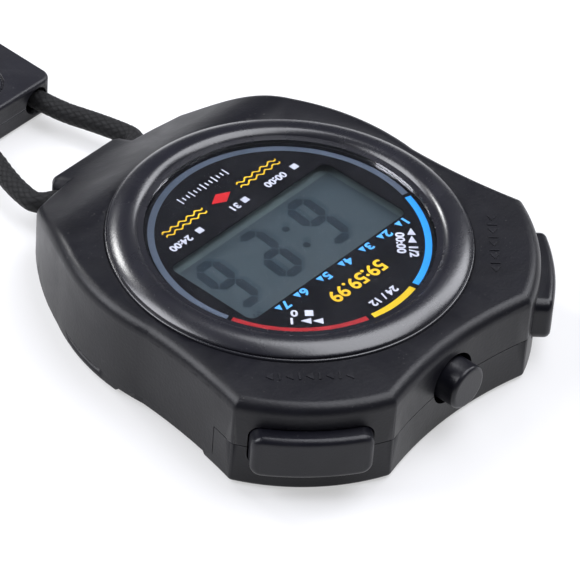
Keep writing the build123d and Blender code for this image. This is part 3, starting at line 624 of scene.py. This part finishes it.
SLOT_MATERIALS = {
    "case_plastic": case_black, "bezel_plastic": bezel_black, "lens_plastic": glass, "dial_print": dial_black,
    "lcd_glass": display_edge, "key_plastic": key_black, "white_plastic": holder_white,
    "black_rubber": seal_rubber, "board_green": board_mask, "epoxy_black": epoxy, "steel": steel,
    "spring_steel": spring_steel, "contact_metal": contact_gold, "buzzer_brass": buzzer_brass,
    "cell_steel": cell_steel, "chip_ceramic": ceramic, "slider_plastic": slider_black,
    "cord_fabric": black_braid,
}


def paint_cad_nodes():
    """Every CAD node gets the material of its slot."""
    for subpart in frame["record"]["subparts"]:
        node = frame["nodes"][subpart["node"]]
        node.data.materials.clear()
        node.data.materials.append(SLOT_MATERIALS[subpart["material_slot"]])


# ---- finishing a piece ----
def finish_piece(bm, name, body, material, replaces=(), sharp=None):
    """Scales a shape from millimetres, makes it a piece and fixes it to its body."""
    bmesh.ops.scale(bm, vec=(MM, MM, MM), verts=bm.verts)
    bmesh.ops.recalc_face_normals(bm, faces=bm.faces)
    mesh = bpy.data.meshes.new(name)
    bm.to_mesh(mesh)
    bm.free()
    mesh.materials.append(material)
    if sharp is not None:
        mesh.shade_smooth()
        mesh.set_sharp_from_angle(angle=math.radians(sharp))
    piece = new_object(name, mesh)
    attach(piece, body)
    if replaces:
        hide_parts(*replaces)
    return piece


def cad_copy(node):
    """A CAD node's shape in millimetres, with its loose triangles joined."""
    bm = bmesh.new()
    bm.from_mesh(frame["nodes"][node].data)
    bmesh.ops.scale(bm, vec=(1 / MM, 1 / MM, 1 / MM), verts=bm.verts)
    bmesh.ops.remove_doubles(bm, verts=bm.verts, dist=0.002)
    return bm


def smooth_shell(node, name, body, slot, sharp=28):
    """A moulded or turned piece with the CAD shape, smooth where it is round and flat where it is flat."""
    shell = finish_piece(cad_copy(node), name, body, SLOT_MATERIALS[slot], (node,), sharp)
    shading = shell.modifiers.new("even shading", "WEIGHTED_NORMAL")
    shading.keep_sharp = True
    return shell


SHELLS = (  # node, finished piece, body, slot
    ("front_case", "front_case_moulding", "case", "case_plastic"),
    ("back_case", "back_case_moulding", "case", "case_plastic"),
    ("battery_door", "battery_door_moulding", "door", "case_plastic"),
    ("start_button", "start_key_cap", "start_key", "key_plastic"),
    ("reset_button", "reset_key_cap", "reset_key", "key_plastic"),
    ("mode_button", "mode_key_cap", "mode_key", "key_plastic"),
    ("case_screws", "case_screws_plated", "case", "steel"),
)
SLIDER_HALVES = (
    ("slider_base", "slider_base_moulding", "slider", "slider_plastic"),
    ("slider_cover", "slider_cover_moulding", "slider", "slider_plastic"),
)


def ring_profile(bm, profile):
    """A closed profile of (radius, z), turned once round the dial's axis."""
    points = [bm.verts.new((radius, 0.0, z)) for radius, z in profile]
    edges = [bm.edges.new((points[i - 1], points[i])) for i in range(len(points))]
    bmesh.ops.spin(bm, geom=points + edges, cent=(0, 0, 0), axis=(0, 0, 1), angle=2 * math.pi, steps=180,
                   use_merge=True)
    bmesh.ops.remove_doubles(bm, verts=bm.verts, dist=0.0005)


def arc(centre, radius, start, end, count):
    """Points on an arc in a profile, with angles in degrees."""
    angles = [math.radians(start + (end - start) * i / count) for i in range(count + 1)]
    return [(centre[0] + radius * math.cos(angle), centre[1] + radius * math.sin(angle)) for angle in angles]


# ---- bezel and lens ----
LENS_RADIUS, LENS_TOP = high("lens")[0], high("lens")[2]
LENS_BEVEL = 0.14  # width of the polished bevel round the lens
LENS_CROWN = 0.06  # how far the lens rises from the bevel to its middle
LENS_RIM = 0.2  # how far the rim's outer edge lies below the middle
CROWN_STEPS = 9
CASE_TOP = high("front_case")[2]
LENS_PLAY = 0.1  # gap between the lens and the ring
LIP_REACH = 0.25  # how far the ring's lip covers the lens rim
LIP_ABOVE = 0.02  # gap between the lip and the lens
LIP_EDGE = 0.05  # height of the lip's own edge
LIP_BACK = (0.2, 0.12)  # the lip's back: out from the ring's bore, up from the underside
CREST_RADIUS = 23.3  # the ring's highest circle
CREST_SWEEP = 4.8  # radius of the broad sweep from the crest out to the shoulder
CREST_INSIDE = 1.9  # radius of the tighter round from the crest in towards the lens
SHOULDER = (0.62, 0.5)  # in from the ring's outside, up from the case top
SHOULDER_ROUND = 0.28
GROOVE = (0.36, 0.3)  # between the shoulder and the bead, measured as the shoulder is
BEAD = (0.24, 0.06)
BEAD_ROUND = 0.24
FOOT_INSIDE = 1.85  # from the lens rim out to the ring's foot


def make_bezel():
    """The polished ring: a lip over the lens, a crest, a broad sweep outwards and a bead at the foot."""
    outer, foot, top = high("bezel_ring")[0], low("bezel_ring")[2], high("bezel_ring")[2]
    bore = LENS_RADIUS + LENS_PLAY
    foot_bore = LENS_RADIUS + FOOT_INSIDE
    lip, under_lip = LENS_RADIUS - LIP_REACH, LENS_TOP + LIP_ABOVE
    profile = [(bore, CASE_TOP), (bore, under_lip), (lip, under_lip)]
    profile += [(lip, under_lip + LIP_EDGE), (bore + LIP_BACK[0], under_lip + LIP_BACK[1])]
    profile += arc((CREST_RADIUS, top - CREST_INSIDE), CREST_INSIDE, 138, 92, 10)
    profile += arc((CREST_RADIUS, top - CREST_SWEEP), CREST_SWEEP, 90, 57, 14)
    profile += arc((outer - SHOULDER[0], CASE_TOP + SHOULDER[1]), SHOULDER_ROUND, 55, 0, 4)
    profile += [(outer - GROOVE[0], CASE_TOP + GROOVE[1])]
    profile += arc((outer - BEAD[0], CASE_TOP + BEAD[1]), BEAD_ROUND, 118, 0, 6)
    profile += [(outer, foot), (foot_bore, foot), (foot_bore, CASE_TOP)]
    bm = bmesh.new()
    ring_profile(bm, profile)
    finish_piece(bm, "bezel_ring_polished", "case", bezel_black, ("bezel_ring",), 26)


def make_lens():
    """The lens with a slightly crowned top and a polished bevel at its rim."""
    bottom, flat = low("lens")[2], LENS_RADIUS - LENS_BEVEL
    profile = [(0.0, bottom), (LENS_RADIUS, bottom), (LENS_RADIUS, LENS_TOP - LENS_RIM)]
    for i in range(CROWN_STEPS, -1, -1):
        profile.append((flat * i / CROWN_STEPS, LENS_TOP - LENS_CROWN * (i / CROWN_STEPS) ** 2))
    bm = bmesh.new()
    ring_profile(bm, profile)
    finish_piece(bm, "lens_window", "case", glass, ("lens",), 25)


# ---- printing on the dial card ----
PRINT_Z = high("dial_card")[2]
PRINT_HEIGHT = 0.015  # thickness of a layer of ink
FIGURE_HEIGHT = 0.7  # height of a figure as a share of the type size
DISC_SIDES = 24
SECTOR_STEP = 2.5  # degrees along an arc from one point to the next, at most


def flat_shape(bm, outline, z=PRINT_Z, height=PRINT_HEIGHT):
    """A flat printed shape with a given outline."""
    corners = [bm.verts.new((x, y, z)) for x, y in outline]
    face = bm.faces.new(corners)
    raised = bmesh.ops.extrude_face_region(bm, geom=[face])["geom"]
    bmesh.ops.translate(bm, vec=(0, 0, height),
                        verts=[part for part in raised if isinstance(part, bmesh.types.BMVert)])


def bar(bm, x0, x1, y0, y1):
    """A printed rectangle."""
    flat_shape(bm, [(x0, y0), (x1, y0), (x1, y1), (x0, y1)])


def disc(bm, centre, radius, z=PRINT_Z, height=PRINT_HEIGHT):
    """A printed dot."""
    angles = [2 * math.pi * k / DISC_SIDES for k in range(DISC_SIDES)]
    outline = [(centre[0] + radius * math.cos(a), centre[1] + radius * math.sin(a)) for a in angles]
    flat_shape(bm, outline, z, height)


def sector(bm, inner, outer, start, end, centre=(0, 0), z=PRINT_Z, height=PRINT_HEIGHT):
    """A printed arc between two azimuths, counted from +Y towards +X."""
    steps = max(4, int(abs(end - start) / SECTOR_STEP))
    angles = [math.radians(start + (end - start) * i / steps) for i in range(steps + 1)]
    outline = [(centre[0] + outer * math.sin(a), centre[1] + outer * math.cos(a)) for a in angles]
    outline += [(centre[0] + inner * math.sin(a), centre[1] + inner * math.cos(a)) for a in reversed(angles)]
    flat_shape(bm, outline, z, height)


def figures(bm, text, centre, height, turn=0.0, stretch=1.0, weight=0.05, z=PRINT_Z, relief=PRINT_HEIGHT):
    """Printed figures, centred on a point and turned by an angle in degrees."""
    curve = bpy.data.curves.new("figures", "FONT")
    curve.body = text
    curve.size = height / FIGURE_HEIGHT
    curve.align_x = "CENTER"
    curve.align_y = "CENTER"
    curve.offset = weight * height
    curve.extrude = relief / 2
    curve.resolution_u = 4
    carrier = bpy.data.objects.new("figures", curve)
    mesh = bpy.data.meshes.new_from_object(carrier)
    mesh.transform(Matrix.Translation((centre[0], centre[1], z + relief / 2))
                   @ Matrix.Rotation(math.radians(turn), 4, "Z") @ Matrix.Diagonal((stretch, 1, 1, 1)))
    bm.from_mesh(mesh)
    bpy.data.objects.remove(carrier)
    bpy.data.curves.remove(curve)
    bpy.data.meshes.remove(mesh)


def turned(points, centre, angle):
    """Points about the origin, turned by an angle in degrees and put at a centre."""
    turn = math.radians(angle)
    return [(centre[0] + x * math.cos(turn) - y * math.sin(turn),
             centre[1] + x * math.sin(turn) + y * math.cos(turn)) for x, y in points]


def print_piece(name, ink, draw, *placing, slot="dial_print"):
    """One colour of printing, drawn by a function that may be given where to put it."""
    bm = bmesh.new()
    draw(bm, *placing)
    finish_piece(bm, name, "case", ink)


RING = (19.4, 20.4)  # inner and outer radius of the coloured ring
YELLOW_HALF = 12.5  # degrees either side of the mode button
COLOUR_START = 15.1  # the red and blue arcs' ends, in degrees from the mode button
COLOUR_END = 72.5
RING_GAP = 2.0  # degrees between the silver ring and an arc
RING_ARCS = (  # piece, ink, first and last azimuth
    ("print_silver_ring", ink_silver, COLOUR_END + RING_GAP, 360.0 - COLOUR_END - RING_GAP),
    ("print_blue_arc", ink_blue, -COLOUR_END, -COLOUR_START),
    ("print_red_arc", ink_red, COLOUR_START, COLOUR_END),
    ("print_yellow_arc", ink_arc_yellow, -YELLOW_HALF, YELLOW_HALF),
)
SMALL_TYPE = 1.15  # how much wider the small figures are set
LABEL_TURN = 45  # the two key labels slant towards their keys
LABEL_HEIGHT = 1.25
PLAY = [(-0.75, -0.62), (0.75, 0.0), (-0.75, 0.62)]
BACK = [(-0.75, 0.0), (0.75, 0.62), (0.75, -0.62)]
STOP = [(-0.6, -0.6), (0.6, -0.6), (0.6, 0.6), (-0.6, 0.6)]
LABEL_ROWS = (  # middle, turn, signs with places along the row, figures and their place
    ((12.3, 13.0), -LABEL_TURN, ((-2.4, PLAY), (-0.7, PLAY)), "1", 1.3),
    ((11.2, 11.8), -LABEL_TURN, ((-1.3, STOP),), "0", 0.8),
    ((-11.6, 13.2), LABEL_TURN, ((-2.6, BACK), (-0.9, BACK)), "1/2", 1.7),
    ((-10.4, 11.9), LABEL_TURN, (), "00:00", 0.0),
)
MODE_LABEL = ("24 / 12", (0.0, 17.7), 1.2)
INDICATORS = ((-12.3, "00:00", -8.1), (-1.6, "31", 0.7), (8.1, "24:00", 12.1))
INDICATOR_HALF = 0.55  # half the width of an indicator's square
INDICATOR_SPAN = (-10.6, -9.55)  # foot and head of the squares
INDICATOR_FIGURES = -10.05
INDICATOR_HEIGHT = 1.15
MARKS_MIDDLE = 0.6  # the rhombus and the scale stand a little beside the dial's axis
SCALE_MARKS = 13
SCALE_PITCH = 0.8
SCALE_ROW = -16.3
SCALE_HALF = 0.11  # half the width of a scale mark
SCALE_TALL, SCALE_SHORT = 0.7, 0.38


def label_row(bm, centre, turn, signs, text, text_along):
    """One line of a key's label: small signs and figures, placed along a slanted row."""
    for along, outline in signs:
        flat_shape(bm, turned(outline, turned([(along, 0.0)], centre, turn)[0], turn))
    place = turned([(text_along, 0.0)], centre, turn)[0]
    figures(bm, text, place, LABEL_HEIGHT, turn, SMALL_TYPE)


def draw_white_marks(bm):
    """White: the mode label, the two key labels, the indicator row and the scale at the bottom."""
    figures(bm, *MODE_LABEL, stretch=1.1)
    for row in LABEL_ROWS:
        label_row(bm, *row)
    for x, text, middle in INDICATORS:
        bar(bm, x - INDICATOR_HALF, x + INDICATOR_HALF, *INDICATOR_SPAN)
        figures(bm, text, (middle, INDICATOR_FIGURES), INDICATOR_HEIGHT, stretch=SMALL_TYPE)
    for k in range(SCALE_MARKS):
        tall = SCALE_TALL if k % 3 == 0 else SCALE_SHORT
        x = MARKS_MIDDLE + (k - SCALE_MARKS // 2) * SCALE_PITCH
        bar(bm, x - SCALE_HALF, x + SCALE_HALF, SCALE_ROW - tall, SCALE_ROW + tall)


LONGEST_TIME = ("59:59.99", (0.2, 12.9), 2.3)
MARKS_ROW = -12.75  # the row of the rhombus and the waves
RHOMBUS_HALF = (2.0, 1.1)
WAVE_MIDDLES = (-7.4, 8.4)
WAVE_LENGTH = 8.4
WAVE_APART = 0.44  # how far each wave of a pair lies from the row
WAVE_HEIGHT = 0.24
WAVE_THICKNESS = 0.27
WAVE_SWINGS = 5


def wave(bm, middle, y):
    """A printed wavy line."""
    steps = 8 * WAVE_SWINGS
    xs = [middle - WAVE_LENGTH / 2 + WAVE_LENGTH * i / steps for i in range(steps + 1)]
    line = [(x, y + WAVE_HEIGHT * math.sin(2 * math.pi * WAVE_SWINGS * i / steps)) for i, x in enumerate(xs)]
    outline = [(x, v + WAVE_THICKNESS / 2) for x, v in line]
    outline += [(x, v - WAVE_THICKNESS / 2) for x, v in reversed(line)]
    flat_shape(bm, outline)


def draw_yellow_marks(bm):
    """Yellow: the longest time it counts, and the waves either side of the rhombus."""
    figures(bm, *LONGEST_TIME, weight=0.03)
    for middle in WAVE_MIDDLES:
        for apart in (-WAVE_APART, WAVE_APART):
            wave(bm, middle, MARKS_ROW + apart)


def draw_rhombus(bm):
    """The red rhombus between the waves."""
    half_width, half_height = RHOMBUS_HALF
    flat_shape(bm, [(MARKS_MIDDLE - half_width, MARKS_ROW), (MARKS_MIDDLE, MARKS_ROW - half_height),
                    (MARKS_MIDDLE + half_width, MARKS_ROW), (MARKS_MIDDLE, MARKS_ROW + half_height)])


DAY_PLACES = (-14.1, -10.1, -6.1, -1.6, 3.0, 7.9, 11.8)
DAY_ROW = 9.2
DAY_HEIGHT = 1.4
DAY_FIGURE = -0.55  # the number's place beside its pointer
DAY_POINTER = ((0.65, 0.5), (1.2, -0.6), (0.1, -0.6))


def draw_day_numbers(bm):
    """The days of the week as numbers, each with a small pointer."""
    for number, x in enumerate(DAY_PLACES, start=1):
        figures(bm, str(number), (x + DAY_FIGURE, DAY_ROW), DAY_HEIGHT, stretch=1.2)
        flat_shape(bm, [(x + across, DAY_ROW + up) for across, up in DAY_POINTER])


def make_dial():
    """The lacquered card and its printing."""
    smooth_shell("dial_card", "dial_card_lacquered", "case", "dial_print", 20)
    for name, ink, start, end in RING_ARCS:
        print_piece(name, ink, sector, *RING, start, end)
    print_piece("print_white_marks", ink_white, draw_white_marks)
    print_piece("print_yellow_marks", ink_yellow, draw_yellow_marks)
    print_piece("print_day_numbers", ink_pale_blue, draw_day_numbers)
    print_piece("print_red_rhombus", ink_bright_red, draw_rhombus)


# ---- display ----
PANEL_TOP = high("lcd_panel")[2]
FILM_HEIGHT = 0.03
DIGIT_Z = PANEL_TOP + FILM_HEIGHT
FILM_CORNERS = ((-16.2, -6.9), (17.0, 9.0))
DIGIT_THICKNESS = 0.008
SHADOW_THICKNESS = 0.006
SHADOW_GAP = 0.001  # between the shadows and the digits above them
DIGIT_SIZE = (4.9, 11.2)
DIGIT_STROKE = 1.5
DIGIT_TIP = 0.12  # how far a bar's tip stands back from the corner it shares
DIGIT_LEAN = 0.09
DIGIT_BASE = -6.2
DIGITS = ((-9.9, "acdefg"), (0.3, "abdefg"), (9.6, "acdefg"))
COLON_X = -2.6
COLON_DOTS = (-2.7, 1.7)
COLON_RADIUS = 0.6
BELL = (14.3, 6.9)
BELL_BOW = (0.5, 0.75, -150, 150)  # inner and outer radius, first and last azimuth
BELL_DOT = 0.25
SHADOW_SHIFT = (-0.8, -0.65)  # where the shadow of the small marks falls; a digit's falls only sideways
SEGMENTS = {"a": ((0, 2), (1, 2)), "b": ((1, 1), (1, 2)), "c": ((1, 0), (1, 1)), "d": ((0, 0), (1, 0)),
            "e": ((0, 0), (0, 1)), "f": ((0, 1), (0, 2)), "g": ((0, 1), (1, 1))}


def display_segment(bm, start, end, z, height):
    """One bar of a digit: a long hexagon."""
    start, end = Vector(start), Vector(end)
    along = (end - start).normalized()
    side = Vector((-along.y, along.x)) * DIGIT_STROKE / 2
    tip, shoulder = along * DIGIT_TIP, along * (DIGIT_TIP + DIGIT_STROKE / 2)
    outline = [start + tip, start + shoulder + side, end - shoulder + side, end - tip,
               end - shoulder - side, start + shoulder - side]
    leaning = [(point.x + DIGIT_LEAN * (point.y - DIGIT_BASE), point.y) for point in outline]
    flat_shape(bm, leaning, z, height)


def display_digit(bm, left, lit, z, height):
    """A digit of seven bars, of which some are lit."""
    width, tall = DIGIT_SIZE[0] - DIGIT_STROKE, DIGIT_SIZE[1] - DIGIT_STROKE
    for name in lit:
        ends = [(left + DIGIT_STROKE / 2 + u * width, DIGIT_BASE + DIGIT_STROKE / 2 + v * tall / 2)
                for u, v in SEGMENTS[name]]
        display_segment(bm, ends[0], ends[1], z, height)


def draw_reading(bm, shift, z, height):
    """The reading on the display, with its colon dots and a small bell mark."""
    for left, lit in DIGITS:
        display_digit(bm, left + shift[0], lit, z, height)
    for y in COLON_DOTS:
        x = COLON_X + shift[0] + DIGIT_LEAN * (y - DIGIT_BASE)
        disc(bm, (x, y + shift[1]), COLON_RADIUS, z, height)
    bell = (BELL[0] + shift[0], BELL[1] + shift[1])
    sector(bm, *BELL_BOW, bell, z, height)
    disc(bm, bell, BELL_DOT, z, height)


def make_display():
    """The glass body, the polariser on it, and the digits over their shadows."""
    smooth_shell("lcd_panel", "display_glass_body", "case", "lcd_glass", 20)
    (left, foot), (right, head) = FILM_CORNERS
    film = [(left, foot), (right, foot), (right, head), (left, head)]
    print_piece("display_polariser", polariser, flat_shape, film, PANEL_TOP, FILM_HEIGHT, slot="lcd_glass")
    print_piece("display_digit_shadows", ink_shadow, draw_reading, SHADOW_SHIFT, DIGIT_Z, SHADOW_THICKNESS,
                slot="lcd_glass")
    print_piece("display_digits", ink_digit, draw_reading, (0.0, 0.0),
                DIGIT_Z + SHADOW_THICKNESS + SHADOW_GAP, DIGIT_THICKNESS, slot="lcd_glass")


# ---- raised marks moulded on the case and the battery door ----
KEY_AZIMUTH = 43.0  # where the start key faces, from +Y towards +X; the reset key mirrors it
SIGN_RADIUS = 29.3
SIGN_PITCH = 1.4
SIGNS_EACH_SIDE = 4  # signs either side of a row's middle one
SIGN_RELIEF = 0.12
SIGN_SUNK = 0.01  # how far a sign's foot is sunk in the case top
SIGN_BAR = [(-0.14, -0.7), (0.14, -0.7), (0.14, 0.7), (-0.14, 0.7)]
SIGN_PLAY = [(-0.5, -0.7), (0.55, 0.0), (-0.5, 0.7)]


def make_case_marks():
    """A row of small raised signs on the case top beside each of the two keys."""
    bm = bmesh.new()
    for azimuth in (KEY_AZIMUTH, -KEY_AZIMUTH):
        middle = turned([(0.0, SIGN_RADIUS)], (0, 0), -azimuth)[0]
        for k in range(-SIGNS_EACH_SIDE, SIGNS_EACH_SIDE + 1):
            spot = turned([(k * SIGN_PITCH, 0.0)], middle, -azimuth)[0]
            outline = SIGN_PLAY if k % 2 == 0 else SIGN_BAR
            flat_shape(bm, turned(outline, spot, -azimuth), CASE_TOP - SIGN_SUNK, SIGN_RELIEF)
    finish_piece(bm, "case_key_signs", "case", case_black)


ARROW = (6.4, 6.75)  # inner and outer radius of the arrow's bow on the battery door
ARROW_SPAN = (20, 75)
ARROW_TIP = (6.58, 82)  # radius and azimuth of its head
ARROW_HEAD = [(0.8, 0.0), (-0.5, 0.75), (-0.5, -0.75)]
DOTS_RADIUS = 6.5
DOTS_AZIMUTHS = (200, 230)
DOT_RADIUS = 0.4
DOOR_MARK_DROP = 0.08  # how far the door's marks stand out of its face
DOOR_MARK_RELIEF = 0.1


def make_back_marks():
    """An arrow that shows which way the battery door turns, and two dots, raised on the sunk door."""
    lowest = low("battery_door")[2]
    middle = (low("battery_door") + high("battery_door")) / 2
    z = lowest - DOOR_MARK_DROP

    def on_door(radius, azimuth):
        turn = math.radians(azimuth)
        return middle.x + radius * math.sin(turn), middle.y + radius * math.cos(turn)

    bm = bmesh.new()
    sector(bm, *ARROW, *ARROW_SPAN, (middle.x, middle.y), z, DOOR_MARK_RELIEF)
    flat_shape(bm, turned(ARROW_HEAD, on_door(*ARROW_TIP), -ARROW_TIP[1]), z, DOOR_MARK_RELIEF)
    for azimuth in DOTS_AZIMUTHS:
        disc(bm, on_door(DOTS_RADIUS, azimuth), DOT_RADIUS, z, DOOR_MARK_RELIEF)
    finish_piece(bm, "battery_door_signs", "door", case_black)


# ---- return springs ----
SPRING_TURNS = 4.5
SPRING_ENDS = 2  # flat turns, one at each end
SPRING_STEPS = 28  # points in a turn
SPRING_RADIUS = 2.2
SPRING_WIRE = 0.17  # radius of the wire
SPRING_SIDES = 10
SPRINGS = {  # distance of the rib from the dial's axis, and the spring's length
    "start": (27.4, 3.5),
    "reset": (27.4, 3.5),
    "mode": (23.6, 3.4),
}


def joint_axis(name):
    """The direction in which a joint moves its body."""
    return Vector(next(joint["axis"] for joint in frame["joints"] if joint["name"] == name)).normalized()


def make_return_spring(key):
    """A helical wire spring between its rib and the flange of its key."""
    joint = key + "_press"
    rib, length = SPRINGS[key]
    inwards = joint_axis(joint)
    middle_z = (low(key + "_spring").z + high(key + "_spring").z) / 2
    start = -inwards * rib + Vector((0, 0, middle_z))
    up = Vector((0, 0, 1))
    side = up.cross(inwards).normalized()
    all_turns = SPRING_TURNS + SPRING_ENDS
    steps = int(SPRING_STEPS * all_turns)
    points = []
    for i in range(steps + 1):
        turns = all_turns * i / steps
        rise = min(max((turns - 1) / SPRING_TURNS, 0.0), 1.0)
        angle = 2 * math.pi * turns
        travel = SPRING_WIRE + (length - 2 * SPRING_WIRE) * rise
        points.append(start - inwards * travel + side * SPRING_RADIUS * math.cos(angle)
                      + up * SPRING_RADIUS * math.sin(angle))
    spring = tube(key + "_spring_wire", points, lambda around, along: SPRING_WIRE, SPRING_SIDES, (1, 1))
    spring.data.materials.append(spring_steel)
    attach(spring, "case")
    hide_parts(key + "_spring")
    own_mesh(spring)


# ---- light and floor ----
COOL_WHITE = (0.94, 0.95, 1.0)
SOFTBOXES = (  # name, place and size in metres, power, colour
    ("overhead_softbox", (-0.3, 0.16, 0.85), (0.9, 0.62), 10.0, COOL_WHITE),
    ("reset_side_softbox", (-0.76, 0.12, 0.52), (0.36, 0.42), 3.0, COOL_WHITE),
    ("start_side_softbox", (0.46, -0.52, 0.58), (0.5, 0.62), 7.5, COOL_WHITE),
    ("tail_softbox", (-0.06, -0.72, 0.52), (0.16, 0.16), 2.4, (1.0, 1.0, 1.0)),
)
ROOM_COLOUR = (0.9, 0.94, 1.0, 1.0)
ROOM_STRENGTH = 0.1
FLOOR_HALF = 3.0
FLOOR_DROP = 0.0002  # how far the floor lies below the case


def area_light(name, place, size, power, colour):
    """A soft rectangular lamp, aimed at the origin."""
    data = bpy.data.lights.new(name, "AREA")
    data.shape = "RECTANGLE"
    data.size, data.size_y = size
    data.energy = power
    data.color = colour
    lamp = new_object(name, data)
    lamp.location = place
    lamp.rotation_euler = (-Vector(place)).to_track_quat("-Z", "Y").to_euler()


def make_floor():
    """A plain pale floor just under the stopwatch."""
    bm = bmesh.new()
    bmesh.ops.create_grid(bm, x_segments=8, y_segments=8, size=FLOOR_HALF)
    bmesh.ops.translate(bm, vec=(0, 0, -FLOOR_DROP), verts=bm.verts)
    mesh = bpy.data.meshes.new("floor")
    bm.to_mesh(mesh)
    bm.free()
    mesh.materials.append(floor_paint())
    new_object("floor", mesh)


def make_lights():
    """Softboxes overhead, over the reset side, over the start side and at the tail end, in a dim room."""
    bpy.context.scene.view_settings.view_transform = "Standard"
    world = bpy.data.worlds.new("studio")
    bpy.context.scene.world = world
    world.use_nodes = True
    room = world.node_tree.nodes["Background"]
    room.inputs["Color"].default_value = ROOM_COLOUR
    room.inputs["Strength"].default_value = ROOM_STRENGTH
    for softbox in SOFTBOXES:
        area_light(*softbox)


# ---- put it together ----
paint_cad_nodes()
braid.data.materials.append(black_braid)
for moulding in SHELLS:
    smooth_shell(*moulding)
slider_pieces = [smooth_shell(*half) for half in SLIDER_HALVES]
make_bezel()
make_lens()
make_dial()
make_display()
make_case_marks()
make_back_marks()
for key in SPRINGS:
    make_return_spring(key)
make_floor()
make_lights()
